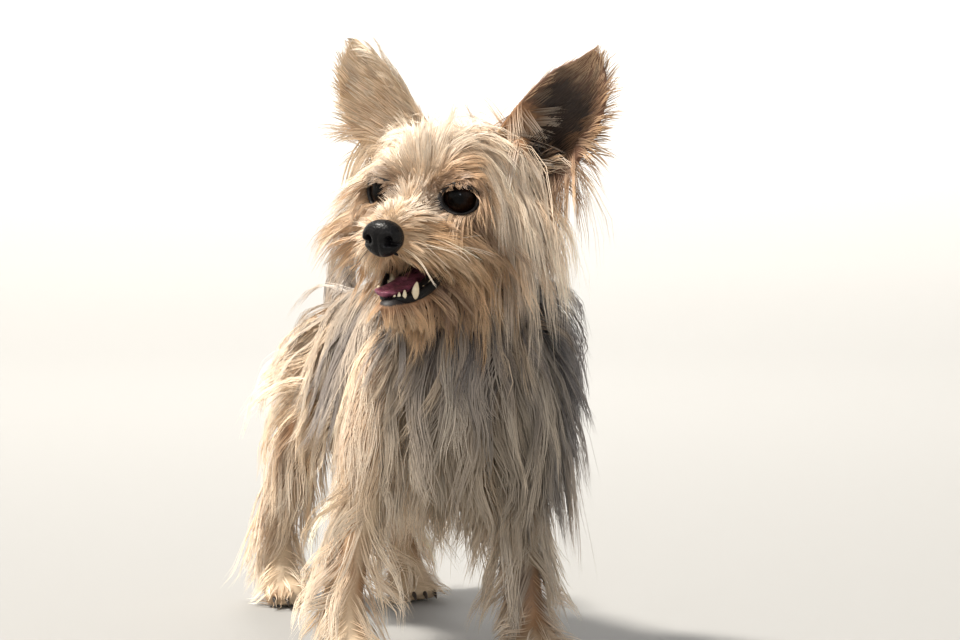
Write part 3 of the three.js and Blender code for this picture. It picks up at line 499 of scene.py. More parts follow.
def markings(points, part):
    """Colour at the roots and at the tips of the hair that grows at each point, with painted shade and
    light in places.
    """
    place = in_body(points)
    blotch = patches(points, 22)
    fine = patches(points, 7, 3)
    if part.startswith("leg"):
        root = mix(TAN, CREAM, smooth_step(-0.7, 0.5, blotch + 0.4 * fine))
        tip = mix(CREAM, PALE, smooth_step(-0.7, 0.5, fine))
        if part == "leg_hind_left":
            high = smooth_step(104, 132, place[:, 2] + 10 * blotch)
            root, tip = mix(root, SLATE, high), mix(tip, STEEL, 0.8 * high)
        if part == "leg_front_left":
            shin = smooth_step(9, 2, np.abs(place[:, 0] - 40)) * smooth_step(20, 50, place[:, 2])
            shin *= smooth_step(-84, -92, place[:, 1])
            # The whole left foreleg is a fifth darker: painted shade on the side away from the lamp. The
            # dark shin line is the coat's own.
            root, tip = mix(root, SLATE, 0.7 * shin) * 0.8, mix(tip, STEEL, 0.5 * shin) * 0.8
        return root, tip
    if part == "whisker":
        left = smooth_step(-4, 4, in_head(points)[:, 0])
        return mix(DARK, CREAM, left), mix(DARK, PALE, left)
    if part in ("torso", "tail"):
        left = smooth_step(-10, 25, place[:, 0])
        edge = 158 - 42 * left
        saddle = smooth_step(edge - 14, edge + 18, place[:, 2] + 12 * blotch)
        saddle *= smooth_step(-122, -96, place[:, 1] + 8 * blotch) * (0.6 + 0.4 * left)
        saddle *= 1 - 0.7 * smooth_step(70, 95, place[:, 1]) * (part == "torso")
        patch = np.linalg.norm((place - np.array((-30, -24, 162))) / np.array((30, 28, 24)), axis=1)
        patch = smooth_step(1.25, 0.6, patch + 0.3 * fine)
        saddle = np.maximum(saddle, 0.8 * patch)
        # Steel grey at the top of the chest: partly the coat's own grey, partly painted shade under the
        # head.
        chest_grey_and_shade = smooth_step(-90, -102, place[:, 1]) * smooth_step(104, 146, place[:, 2] + 8 * blotch)
        root = mix(mix(GOLD, CREAM, 0.6 + 0.3 * blotch), SLATE, np.maximum(saddle, 0.85 * chest_grey_and_shade))
        low_left = left * smooth_step(150, 128, place[:, 2])
        high = mix(SILVER, STEEL, np.clip(0.4 * left + 0.4 - 0.4 * low_left + 0.5 * fine, 0, 1))
        high = mix(high, CREAM, 0.4 * low_left)
        tip = mix(mix(mix(CREAM, PALE, 0.5 + 0.4 * fine), high, saddle), STEEL, 0.7 * patch)
        tip = mix(tip, STEEL, 0.6 * chest_grey_and_shade * smooth_step(0.4, -0.3, fine))
        # Painted shade: the front of the chest, under the head, is up to 35% darker at roots and tips.
        deep = 1 - 0.35 * smooth_step(-82, -100, place[:, 1]) * smooth_step(-40, -10, place[:, 0])
        return root * deep[:, None], tip * deep[:, None]
    if part == "neck":
        back = smooth_step(-104, -80, place[:, 1] + 8 * blotch)
        streak = smooth_step(-0.25, 0.3, patches(points, 3.1, 5))
        root = mix(SLATE, TAN, 0.25 * streak * (1 - back))
        tip = mix(mix(STEEL, CREAM, 0.15 + 0.65 * streak), SILVER, 0.4 * back)
        left_back = smooth_step(6, 20, place[:, 0] + 6 * blotch) * smooth_step(-112, -94, place[:, 1])
        tip = mix(tip, mix(SLATE, STEEL, 0.5 * streak), 0.85 * left_back)
        # Painted shade: towards the front of the neck, under the head, the tips are up to 28% darker.
        return root, tip * (0.72 + 0.28 * back)[:, None]
    if part.startswith("ear"):
        u, v, front = ear_place(1 if part == "ear_left" else -1, points)
        rim = np.minimum(np.minimum(u / 0.8, 0.75 * (1 - u)), 1.06 - v)
        # Inside the cup: its darkening is painted shade in the hollow of the ear.
        inner = front * smooth_step(0.05, 0.19, rim) * smooth_step(0.9, 0.5, v) * smooth_step(0.02, 0.12, v)
        if part == "ear_right":
            streak = smooth_step(0.1, 0.6, patches(points, 4, 5))
            root = mix(mix(GOLD, CREAM, 0.4 + 0.4 * fine), RUST, 0.15 * inner + 0.45 * streak)
            wispy = np.maximum(smooth_step(0.2, 0.06, u), 0.8 * smooth_step(0.75, 0.95, v))
            wispy = np.maximum(wispy, 0.7 * smooth_step(0.4, 0.15, v))
            tip = mix(mix(CREAM, PALE, 0.4 + 0.4 * fine), TAN, 0.35 * streak)
            return mix(root, CREAM, 0.6 * wispy), mix(tip, PALE, wispy)
        tuft = front * smooth_step(0.36, 0.16, u) * smooth_step(0.42, 0.22, v)
        # Left ear: painted shade makes the cup dark brown, and painted light lifts it to tan towards the
        # outer rim.
        root = mix(mix(RUST, DARK * 0.5, inner), TAN, tuft)
        painted_rim_light = inner * smooth_step(0.62, 0.85, u) * 0.7
        tip = mix(mix(mix(GOLD, CREAM, 0.3 + 0.3 * fine), DARK * 0.7, inner), TAN, painted_rim_light)
        return root, mix(tip, PALE, tuft)
    at = in_head(points)
    x, y, z = at.T
    mirrored = np.stack((np.abs(x), y, z), 1)

    def spot(middle, outer, inner, at=at, size=1):
        return smooth_step(outer, inner, np.linalg.norm((at - middle) / size, axis=1))

    # Painted shade in the crease behind the corner of the mouth.
    mouth_corner_shade = spot((18, -38, -44), 15, 6)
    if part == "jaw":
        root = mix(mix(RUST, TAN, 0.6 + 0.4 * blotch), DARK, 0.7 * mouth_corner_shade)
        return root, mix(mix(GOLD, CREAM, 0.35 + 0.4 * fine), RUST, 0.8 * mouth_corner_shade)
    # Paler hair: the crown and the bridge are the coat's own pale; on the falls it is partly painted light,
    # and right of the nose it is painted light.
    crown = smooth_step(-6, 10, z + 3 * fine) * smooth_step(-46, -34, y)
    bridge = smooth_step(-15, -9, z) * smooth_step(-32, -40, y)
    pale_falls_and_painted_light = smooth_step(20, 27, np.abs(x)) * smooth_step(-40, -10, z) * smooth_step(-30, -18, y)
    painted_light_muzzle_right = smooth_step(-5, -12, x) * smooth_step(-36, -46, y) * smooth_step(-34, -26, z)
    light = np.maximum.reduce((0.9 * crown, 0.8 * bridge, 0.9 * pale_falls_and_painted_light + 0.2 * fine, 0.8 * painted_light_muzzle_right))
    light = np.clip(light, 0, 1)
    # Painted shade round the eyes: under the left eye, in the inner corners, and on the hair at the lids
    # under the brow.
    shade_under_eye = spot((23, -34, -14), 16, 6)
    corner = spot((9, -37, -9), 9, 3, mirrored)
    shade_at_lids = spot((20.4, -38.5, -4.2), 2.3, 1.2, mirrored, (9, 10, 6.6))
    shaded = np.maximum.reduce((0.75 * shade_under_eye, 0.35 * corner, 0.75 * shade_at_lids))
    brow = spot((19, -31, 6), 15, 5)
    light = light * (1 - 0.9 * brow)
    # Painted shade on the left cheek under the falls.
    cheek_shade = spot((28, -24, -22), 20, 8)
    # Roots and tips turn pale with the coat's own pale and with the painted light.
    root = mix(mix(TAN, GOLD, 0.5 + 0.5 * blotch), CREAM, 0.75 * light)
    # Roots and tips darken with the painted shade.
    root = mix(root, DARK, np.maximum.reduce((0.7 * shaded, 0.6 * mouth_corner_shade, 0.4 * cheek_shade)))
    tip = mix(mix(GOLD, CREAM, (0.3 + 0.4 * fine) * (1 - brow)), PALE, light)
    return root, mix(tip, RUST, np.maximum.reduce((0.8 * shaded, 0.5 * mouth_corner_shade, 0.5 * cheek_shade)))


# Eyes. Round dark eyes with a bulging clear front, set in the sockets and looking where the nose points.
# The iris is deep brown with fibres round a black pupil, and only a sliver of white shows at the side.
def new_finish(name):
    finish = bpy.data.materials.new(name)
    finish.use_nodes = True
    return finish, finish.node_tree.nodes["Principled BSDF"]


def fill(node, inputs):
    """Links a node's sockets to the outputs of other nodes, or sets them to plain values."""
    for socket, value in inputs.items():
        if isinstance(value, bpy.types.NodeSocket):
            node.id_data.links.new(value, node.inputs[socket])
        else:
            node.inputs[socket].default_value = value
    return node.outputs


def add_node(finish, kind, inputs=None, **settings):
    node = finish.node_tree.nodes.new("ShaderNode" + kind)
    for key, value in settings.items():
        setattr(node, key, value)
    return fill(node, inputs or {})


def shades(finish, level, *stops):
    """Colours over a level, from stops (place, colour). A colour is a code or already linear."""
    node = finish.node_tree.nodes.new("ShaderNodeValToRGB")
    stops = [(place, (*(paint(tone) if isinstance(tone, str) else tone), 1)) for place, tone in stops]
    band = node.color_ramp.elements
    for element, (place, tone) in zip(band, (stops[0], stops[-1])):
        element.position = place
        element.color = tone
    for place, tone in stops[1:-1]:
        band.new(place).color = tone
    return fill(node, {"Fac": level})["Color"]


def mottle(finish, tone, grain, low, high):
    """A tone made darker and lighter by a grain."""
    level = add_node(finish, "MapRange", {"Value": grain, "To Min": low, "To Max": high})["Result"]
    return add_node(finish, "VectorMath", {0: tone, "Scale": level}, operation="SCALE")["Vector"]


iris, shader = new_finish("eye")
gaze_place = add_node(iris, "Attribute", attribute_name="gaze")["Vector"]
zones = shades(
    iris, add_node(iris, "SeparateXYZ", {0: gaze_place})["Z"], (0.0, "CDBFB2"), (0.36, "8A786A"),
    (0.42, "0A0605"), (0.56, "100805"), (0.75, "1A0D07"), (0.9, "120906"), (0.93, "050404"),
)
squashed = add_node(iris, "Mapping", {"Vector": gaze_place, "Scale": (9, 9, 1.2)})["Vector"]
fibres = add_node(iris, "TexNoise", {"Vector": squashed, "Scale": 2.5, "Detail": 4})["Fac"]
fill(shader, {
    "Base Color": mottle(iris, zones, fibres, 0.4, 1.5), "Roughness": 0.3, "Specular IOR Level": 0.02,
    "Coat Weight": 0.35, "Coat IOR": 1.3, "Coat Roughness": 0.03,
})
CORNEA_BULGE, CORNEA_EDGE = 0.075, 0.72
for side, name in ((1, "left"), (-1, "right")):
    look = head_turn.to_3x3() @ Vector((side * 0.12, -1, 0.03)).normalized()
    eye = new_ball("eyeball_" + name, 64, 48, EYE_SIZE * MM)
    gaze_map = eye.data.attributes.new("gaze", "FLOAT_VECTOR", "POINT")
    upright = look.to_track_quat("Z", "Y").to_matrix()
    for vertex, kept in zip(eye.data.vertices, gaze_map.data):
        local = vertex.co / (EYE_SIZE * MM)
        kept.vector = local
        bulge = CORNEA_BULGE * max(0.0, (local.z - CORNEA_EDGE) / (1 - CORNEA_EDGE)) ** 0.8
        vertex.co = upright @ (vertex.co * (1 + bulge)) + head_at(side * EYE[0], EYE[1], EYE[2])
    bpy.ops.object.shade_smooth()
    eye.data.materials.append(iris)
    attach(eye, "root")
    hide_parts("eye_" + name)


# Lid rims and lips. Black, moist, hairless edges: one roll round each eye opening, one along the upper
# lip on each side of the groove under the nose, and a broader one round the edge of the lower jaw.
def roll(name, points, thick, tall, closed=False):
    """A soft roll of skin along points (x, y, z, scale) of the head, wider than it is thick."""
    rows = np.array(points if closed else along(points, 6 * len(points)), float)
    ahead = np.roll(rows[:, :3], -1, 0) - np.roll(rows[:, :3], 1, 0)
    if not closed:
        ahead[0], ahead[-1] = rows[1, :3] - rows[0, :3], rows[-1, :3] - rows[-2, :3]
    around = 10
    total = around * len(rows)
    corners = []
    for (x, y, z, size), step in zip(rows.tolist(), ahead.tolist()):
        step = Vector(step).normalized()
        outward = step.cross(Vector((0, 0, 1))).normalized()
        up = outward.cross(step)
        for k in range(around):
            angle = 2 * math.pi * k / around
            corners.append(head_at(*(Vector((x, y, z)) + size * (
                outward * math.cos(angle) * thick / 2 + up * math.sin(angle) * tall / 2
            ))))
    faces = []
    for start in range(0, total if closed else total - around, around):
        for k in range(around):
            a, b = start + k, start + (k + 1) % around
            faces.append((a, (a + around) % total, (b + around) % total, b))
    if not closed:
        faces += [tuple(range(around)), tuple(range(total - 1, total - around - 1, -1))]
    piece = new_piece(name, corners, faces)
    turn_out(piece)
    bpy.ops.object.shade_smooth()
    return piece


def moist_skin(name, dark, light, cell, bump, roughness, gloss):
    """Bare skin: a pebbled surface, blotched between two tones, with a thin wet film."""
    finish, shader = new_finish(name)
    place = add_node(finish, "TexCoord")["Object"]
    blotch = add_node(finish, "TexNoise", {"Vector": place, "Scale": 260, "Detail": 4})["Fac"]
    cells = {"Vector": place, "Scale": 1 / (cell * MM)}
    pebble = add_node(finish, "TexVoronoi", cells, feature="SMOOTH_F1")["Distance"]
    relief = {"Height": pebble, "Strength": bump, "Distance": 0.25 * MM}
    fill(shader, {
        "Base Color": shades(finish, blotch, (0.35, dark), (0.68, light)),
        "Normal": add_node(finish, "Bump", relief, invert=True)["Normal"], "Roughness": roughness,
        "Specular IOR Level": 0.14, "Coat Weight": gloss, "Coat Roughness": 0.2,
    })
    return finish


lip_finish = moist_skin("lip", "070606", "120D0D", cell=0.9, bump=0.9, roughness=0.5, gloss=0.06)
LID_POINTS = 44
for side, name in ((1, "left"), (-1, "right")):
    ring = []
    for k in range(LID_POINTS):
        t = 2 * math.pi * k / LID_POINTS
        upper = math.sin(t) > 0
        dx = side * (1.6 + 8.5 * math.cos(t))
        dz = -0.2 + (5.5 if upper else 5.2) * math.sin(t) * (1 - 0.2 * math.cos(2 * t)) - 0.9 * math.cos(t)
        dy = -math.sqrt(max((EYE_SIZE + 0.5) ** 2 - dx * dx - dz * dz, 0.4))
        ring.append((side * EYE[0] + dx, EYE[1] + dy, EYE[2] + dz, 1.1 if upper else 0.7))
    rim = roll("lid_rim_" + name, ring, thick=0.9, tall=1.0, closed=True)
    rim.data.materials.append(lip_finish)
    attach(rim, "root")
    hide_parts("head")
lower_lip = roll("lip_lower", [
    (-13.5, -36, -37, 0.5), (-12.3, -43, -41, 0.9), (-9.8, -51, -44.6, 1), (-6, -58, -46.6, 0.9),
    (0, -61.2, -47.4, 0.8), (6, -58, -46.6, 0.95), (9.8, -51, -44.6, 1.15), (12.3, -43, -41, 1.1),
    (13.5, -36, -37, 0.6),
], thick=2.6, tall=4.2)
upper_lips = [roll("lip_upper_" + name, [
    (side * 13.9, -36, -34.4, 0.6), (side * 12.6, -44, -30.2, 1), (side * 10.2, -53, -28.4, 1),
    (side * 6.8, -60, -27, 1), (side * 3, -63.6, -25.6, 0.8),
], thick=2.2, tall=2.4) for side, name in ((1, "left"), (-1, "right"))]
for piece, node in ((lower_lip, "jaw"), (upper_lips[0], "head"), (upper_lips[1], "head")):
    piece.data.materials.append(lip_finish)
    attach(piece, "root")
    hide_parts(node)

# Nose leather. A firm black pad with two comma nostrils that open to the sides and a groove down the
# middle, finely pebbled and moist.
NOSE = Vector((0, -68.2, -18.9))
NOSE_SIZE = Vector((9.5, 7.4, 8.2))
nose_pad = new_ball("nose_leather", 96, 64)
for vertex in nose_pad.data.vertices:
    x, y, z = vertex.co
    wide = 1 + 0.10 * z - 0.10 * max(0, -z - 0.3)
    across = abs(x)
    x, y = x * wide, y * (1 - 0.16 * max(0.0, -y) ** 2)
    groove = 0.10 * math.exp(-((x / 0.09) ** 2)) * min(1, max(0, (0.35 - z) / 0.4))
    bore = math.exp(-(((across - 0.5) / 0.17) ** 2 + ((z + 0.02 - 0.2 * (across - 0.5)) / 0.21) ** 2))
    slit = math.exp(-(((across - 0.8) / 0.2) ** 2 + ((z + 0.2) / 0.1) ** 2))
    wing = math.exp(-(((across - 0.66) / 0.18) ** 2 + ((z - 0.3) / 0.2) ** 2))
    front = min(1, max(0, -y + 0.15) / 0.5)
    y += front * (groove + 0.62 * bore + 0.3 * slit - 0.06 * wing)
    x -= math.copysign(0.12 * slit * front, x)
    vertex.co = head_at(*(NOSE + Vector((x * NOSE_SIZE.x, y * NOSE_SIZE.y, z * NOSE_SIZE.z))))
bpy.ops.object.shade_smooth()
nose_pad.data.materials.append(moist_skin(
    "nose_leather", "060506", "121011", cell=0.85, bump=1.0, roughness=0.38, gloss=0.08,
))
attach(nose_pad, "root")
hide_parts("nose")

# Tongue. A broad wet muscle that lies in the lower jaw and thins to its rounded tip, with a groove
# along the middle.
TONGUE = [
    (-24, -38, 6.4, 2.6), (-32, -41, 6.6, 2.6), (-42, -43.4, 6.4, 2.6), (-50, -44.4, 6.4, 2.5),
    (-56, -44.6, 6.4, 2.3), (-61, -44.4, 5.2, 1.8), (-64, -44.2, 2.4, 1.0),
]
tongue_rows = along([(0, *row, 0) for row in TONGUE], 40)
TONGUE_ROUND = 28
tongue_corners = []
for _, y, z, wide, thick, _ in tongue_rows:
    for k in range(TONGUE_ROUND):
        angle = 2 * math.pi * k / TONGUE_ROUND
        x, up = wide * math.cos(angle), thick * math.sin(angle)
        cup = 0.9 * (x / wide) ** 2 - 0.9 * math.exp(-((x / 1.1) ** 2)) * max(0, math.sin(angle))
        tongue_corners.append(head_at(x - 3.2, y, z + up + cup * min(1, wide / 6)))
tongue_faces = []
for i in range(len(tongue_rows) - 1):
    for k in range(TONGUE_ROUND):
        a, b = i * TONGUE_ROUND + k, i * TONGUE_ROUND + (k + 1) % TONGUE_ROUND
        tongue_faces.append((a, b, b + TONGUE_ROUND, a + TONGUE_ROUND))
last_row = (len(tongue_rows) - 1) * TONGUE_ROUND
tongue_faces.append(tuple(range(TONGUE_ROUND - 1, -1, -1)))
tongue_faces.append(tuple(range(last_row, last_row + TONGUE_ROUND)))
tongue = new_piece("tongue_flesh", tongue_corners, tongue_faces)
turn_out(tongue)
bpy.ops.object.shade_smooth()
# The tongue's pink is darkened to deep purple: painted shade inside the mouth.
tongue.data.materials.append(moist_skin(
    "tongue", "4A2030", "98586B", cell=0.5, bump=0.7, roughness=0.4, gloss=0.3,
))
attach(tongue, "root")
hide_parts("tongue")

# Teeth. The lower row of small ivory teeth that shows beside the tongue: six cutters, two curved fangs
# and three cheek teeth on each side.
enamel, shader = new_finish("enamel")
place = add_node(enamel, "TexCoord")["Object"]
stain = add_node(enamel, "TexNoise", {"Vector": place, "Scale": 350})["Fac"]
ivory = shades(enamel, stain, (0, "B9A47E"), (1, "E8DCC2"))
fill(shader, {"Base Color": ivory, "Roughness": 0.25, "Coat Weight": 0.6})
teeth_rows = []
for side in (1, -1):
    back = -43.9 + 0.9 * side
    teeth_rows += [
        (side * 8.6, -55.2, -46.0, 2.1, 5.4 + side * 1.6, side * 1.0),
        (side * 5.4, -58.6, -46.6, 1.35, 4.2, 0), (side * 3.2, -59.6, -47.0, 1.2, 3.6, 0),
        (side * 1.1, -60.1, -47.2, 1.1, 3.3, 0), (side * 9.9, -49.5, back - 1.8, 1.6, 3.4, 0),
        (side * 10.8, -45, back, 1.9, 3.4, 0), (side * 11.4, -40, back + 2, 2.1, 3.6, 0),
    ]
for x, y, z, radius, tall, lean in teeth_rows:
    tooth = new_ball("tooth", 14, 12)
    for vertex in tooth.data.vertices:
        height = (vertex.co.z + 1) / 2
        slim = 1 - 0.45 * height
        vertex.co = Vector((
            vertex.co.x * radius * slim + lean * height**1.5, vertex.co.y * radius * slim,
            -1 + (tall + 1) * height,
        ))
        vertex.co = head_at(*(Vector((x, y, z)) + vertex.co))
    lumps.append(tooth)
teeth = gather("teeth")
bpy.ops.object.shade_smooth()
teeth.data.materials.append(enamel)
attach(teeth, "root")
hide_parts("jaw")

# Claws. Four short blunt claws of dark horn on each foot, curved down from the tips of the toes, with
# streaks along them.
horn, shader = new_finish("horn")
place = add_node(horn, "TexCoord")["Object"]
stretched = add_node(horn, "Mapping", {"Vector": place, "Scale": (1, 0.15, 1)})["Vector"]
streak = add_node(horn, "TexNoise", {"Vector": stretched, "Scale": 2600, "Detail": 3})["Fac"]
fill(shader, {"Base Color": shades(horn, streak, (0, "17120F"), (1, "4B3E34")), "Roughness": 0.35})
CLAW_THICK, CLAW_LONG, CLAW_HIGH, CLAW_DROP = 1.6, 6.5, 5.6, 3.2
TOE_TIP = 4.5
for leg in legs.values():
    for n in TOES:
        claw = new_ball("claw", 16, 14)
        toe_x, toe_y = toe_at(leg, n)
        for vertex in claw.data.vertices:
            out = (vertex.co.z + 1) / 2
            slim = CLAW_THICK * (1 - 0.55 * out**2)
            x, y = toe_x + 0.8 * slim * vertex.co.x, toe_y - TOE_TIP - CLAW_LONG * out
            vertex.co = body_at(x, y, CLAW_HIGH - CLAW_DROP * out**2 + slim * vertex.co.y)
        lumps.append(claw)
claws = gather("claws")
turn_out(claws)
bpy.ops.object.shade_smooth()
claws.data.materials.append(horn)
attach(claws, "root")
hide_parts(*legs)

# Coat. Silky hair with no undercoat: fine locks that lie down from a parting along the head and the
# back. Each strand is a thin tapered blade with three sides; neighbours gather in locks that bend under
# their weight, ripple, and lie over the flesh and over each other, clear of the eyes and the mouth.
rng = np.random.default_rng(11)
GRAVITY = np.array((0.0, 0.0, -1.0))
STEPS = 10
# Millimetres that hair keeps off the flesh and the floor, and within the dog's box
CLEAR_ROOT, CLEAR_TIP, ROOT_SINK, PATH_GAP, HAIR_GAP = 0.4, 1.8, 16, 1.5, 0.8
EASE_FROM, EASE_REACH, EASE_SOFT = 2, 4, 9
# Loose hairs: their share and their pull into the lock. Then how far hairs stray and rise for their length
LOOSE_SHARE, LOOSE_PULL = 0.05, 0.05
LOOSE_STRAY, STRAY, LOOSE_RISE, RISE = 0.07, 0.02, 0.06, 0.014
# Spread of brightness between locks, between hairs and between the edges of a blade
LOCK_SHADE, HAIR_SHADE, EDGE_SHADE = 0.1, 0.08, 0.06
BLADE_AT, BLADE_WIDE = (0, 0.15, 0.6, 0.85, 1), (0.8, 1, 0.9, 0.6, 0.35)
TUFT_PATCH = 0.003


def hair_finish(name, roughness, sheen):
    """Silk: the tone of each hair, streaked along its length, with a soft gloss."""
    finish, shader = new_finish(name)
    tone = add_node(finish, "Attribute", attribute_name="tone")["Color"]
    place = add_node(finish, "TexCoord")["Object"]
    grain = add_node(finish, "TexNoise", {"Vector": place, "Scale": 900, "Detail": 2})["Fac"]
    fill(shader, {
        "Base Color": mottle(finish, tone, grain, 0.82, 1.16), "Roughness": roughness,
        "Specular IOR Level": 0.5, "Sheen Weight": sheen, "Sheen Roughness": 0.5,
    })
    return finish


silk = hair_finish("silk", roughness=0.46, sheen=0.12)


def scatter(chosen, count):
    """Roots spread evenly over the chosen faces of the skin."""
    faces = np.flatnonzero(chosen)
    ends = np.cumsum(face_area[faces])
    picks = (np.arange(count) + rng.random(count)) / count * ends[-1]
    hit = faces[np.minimum(np.searchsorted(ends, picks), len(faces) - 1)]
    a, b = np.sqrt(rng.random(count)), rng.random(count)
    share = np.stack((1 - a, a * (1 - b), a * b), 1)[:, :, None]
    corners = face_corners[hit]
    at, normal = (corner_at[corners] * share).sum(1), unit((corner_normal[corners] * share).sum(1))
    return at, normal, (flat[hit] * share).sum(1)


def push_out(points, at, size, turn, clearance=0.0):
    """Moves points out of a ball until they are clear of it."""
    local = (points - at) @ turn
    radii = size + np.atleast_1d(clearance)[:, None]
    q = np.linalg.norm(local / radii, axis=1)
    inside = (q < 1) & (q > 1e-3)
    points[inside] = (local[inside] / q[inside, None]) @ turn.T + at


def hold_in_box(points):
    """Eases hair that would reach past the dog's box back to its border."""
    low, high = (np.array(corner) for corner in cad_box)
    middle, half = (low + high) / 2, (high - low) / 2
    off = points - middle
    limit = half - EASE_FROM * MM
    over = np.maximum(np.abs(off) - limit, 0)
    eased = np.minimum(np.abs(off), limit) + EASE_REACH * MM * np.tanh(over / (EASE_SOFT * MM))
    points[:] = middle + np.sign(off) * eased
    points[:, 2] = np.maximum(points[:, 2], floor_z + HAIR_GAP * MM)


def drape(root, normal, way, length, lift, fall, curl, flick, over, full, level):
    """Paths of hair: out of the skin, bending down under their weight over the flesh and the full coat."""
    path = [root]
    way = unit(way - normal * (way * normal).sum(1)[:, None])
    aside = unit(np.cross(way, normal))
    way = unit(way + normal * lift[:, None])
    at = root.copy()
    for i in range(1, STEPS + 1):
        before = at
        at = at + way * (length / STEPS)[:, None]
        near_root = max(0.0, 1 - i / (0.5 * STEPS))
        for _, middle, size, turn in over:
            push_out(at, middle, size, turn, (CLEAR_ROOT + CLEAR_TIP * i / STEPS) * level * MM)
        for middle, size, turn, slack in full:
            push_out(at, middle, size, turn, -(slack * (1 - level) + ROOT_SINK * near_root) * MM)
        at[:, 2] = np.maximum(at[:, 2], floor_z + PATH_GAP * MM)
        path.append(at)
        bend = math.cos(math.pi * i / STEPS) - 3.5 * max(0.0, i / STEPS - 0.65)
        way = unit(at - before) + GRAVITY * fall[:, None] + aside * (curl * bend)[:, None]
        way = unit(way + normal * (flick * max(0.0, i / STEPS - 0.55) * level)[:, None])
    return np.stack(path, 1)


def grow(name, chosen, part, nodes, lie, over, full, count, clump, rings, wide,
         ripple=1.6, clear=(), draw=0.5, sway=0.12, wave_long=44):
    """One piece of coat: leading hairs are draped, and the rest follow the nearest leader."""
    leaders = max(count // clump, 8)
    lead_root, lead_normal, _ = scatter(chosen, leaders)
    level = 0.1 + 0.9 * rng.random(leaders) ** 0.7
    way, length, lift, fall = lie(lead_root, lead_normal)
    drift = np.cross(unit(way), lead_normal) * (2.4 * sway * patches(lead_root, 20, 4))[:, None]
    length = length * (0.8 + 0.35 * rng.random(leaders)) * MM
    curl = sway * (0.5 * rng.standard_normal(leaders) + 1.5 * patches(lead_root, 16, 1))
    flick = np.maximum(0, 7 * (sway - 0.12)) * rng.random(leaders)
    paths = drape(
        lead_root, lead_normal, unit(way) + drift, length, lift * (0.5 + 0.8 * level),
        np.broadcast_to(fall, leaders), curl, flick, over, full, level,
    )

    root, normal, place = scatter(chosen, count)
    finder = KDTree(leaders)
    for i, p in enumerate(lead_root + lead_normal * 5 * MM):
        finder.insert(p, i)
    finder.balance()
    leader = np.array([finder.find(p)[1] for p in root + normal * 5 * MM])

    # Each hair follows its leader, starts at its own root and closes in towards the lock's tip
    loose = rng.random(count) < LOOSE_SHARE
    low_hair = level[leader] < 0.5
    share = np.linspace(0, 1, rings + 1)
    reach = (0.7 + 0.3 * rng.random(count))[:, None] * share
    spot = reach * STEPS
    low = np.minimum(spot.astype(int), STEPS - 1)
    t = (spot - low)[..., None]
    row = paths[leader]
    index = np.arange(count)[:, None]
    line = row[index, low] * (1 - t) + row[index, low + 1] * t - row[:, :1]
    pull = np.where(loose, LOOSE_PULL, draw * (0.5 + rng.random(count)))[:, None] * share**1.2
    own = (root - lead_root[leader])[:, None, :] * (1 - pull)[..., None]
    line = line + lead_root[leader][:, None, :] + own
    along_hair = unit(np.gradient(line, axis=1))
    out = unit(normal[:, None, :] - along_hair * (normal[:, None, :] * along_hair).sum(2, keepdims=True))
    across = np.cross(along_hair, out)
    own_length = (length[leader] * reach[:, -1])[:, None]
    step = 3 * patches(lead_root, 26, 2) + 1.1 * rng.standard_normal(leaders)
    phase = step[leader][:, None] + 0.25 * rng.standard_normal((count, 1))
    wave = np.sin(2 * math.pi * own_length * share / (wave_long * MM) + phase)
    swing = np.minimum(ripple * MM, 0.09 * own_length) * share
    stray = rng.standard_normal((count, 1)) * np.where(loose, LOOSE_STRAY, STRAY)[:, None]
    rise = rng.standard_normal((count, 1)) * np.where(loose, LOOSE_RISE, RISE)[:, None]
    stray, rise = stray * own_length * share**1.5, rise * own_length * share**1.5
    line = line + across * (wave * swing + stray)[..., None] + out * np.abs(rise)[..., None]
    loose_end = line[:, 1:].reshape(-1, 3)
    for middle, size, turn in clear:
        push_out(loose_end, middle, size, turn)
    hold_in_box(loose_end)
    line[:, 1:] = loose_end.reshape(count, rings, 3)

    profile = np.interp(share[:-1], BLADE_AT, BLADE_WIDE)
    girth = wide * (0.65 + 0.7 * rng.random(count)) * np.where(low_hair, 1.7, 1.0)
    width = (girth * MM)[:, None] * profile
    deep = np.where(low_hair, 0.2, 0.45)[:, None, None]
    core = line[:, :-1]
    corners = np.stack((
        core + across[:, :-1] * width[..., None] / 2,
        core - across[:, :-1] * width[..., None] / 2,
        core + out[:, :-1] * width[..., None] * deep,
    ), 2).reshape(count, -1, 3)
    corners = np.concatenate((corners, line[:, -1:]), 1)

    blade = []
    for j in range(3):
        for i in range(rings - 1):
            a, b = 3 * i + j, 3 * i + (j + 1) % 3
            blade += [(a, b, a + 3), (b, b + 3, a + 3)]
        blade.append((a + 3, b + 3, 3 * rings))
    blade.append((0, 2, 1))
    size = 3 * rings + 1
    triangles = (np.array(blade)[None] + np.arange(count)[:, None, None] * size).reshape(-1, 3)

    root_tone, tip_tone = markings(lead_root, part)
    shade = np.exp(LOCK_SHADE * rng.standard_normal(leaders))[leader]
    shade = shade * np.exp(HAIR_SHADE * rng.standard_normal(count))
    shade = shade[:, None] * (1 + EDGE_SHADE * rng.standard_normal((count, 3)))
    shade = np.concatenate((np.tile(shade, (1, rings)), shade.mean(1, keepdims=True)), 1)
    # Painted shade inside the coat: hairs of the lower layers are darker. Roots are darker too, partly the
    # hair's own darker base and partly painted shade.
    painted_shade_in_lower_layers = (0.64 + 0.36 * level[leader])[:, None]
    blend = np.append(np.repeat(share[:-1], 3), 1.0)
    darker_roots_and_shade = 0.84 + 0.16 * np.minimum(blend / 0.3, 1)
    colour = mix(root_tone[leader][:, None, :], tip_tone[leader][:, None, :], blend[None] ** 0.8)
    colour = np.clip(colour * (shade * painted_shade_in_lower_layers * darker_roots_and_shade)[..., None], 0, 1)

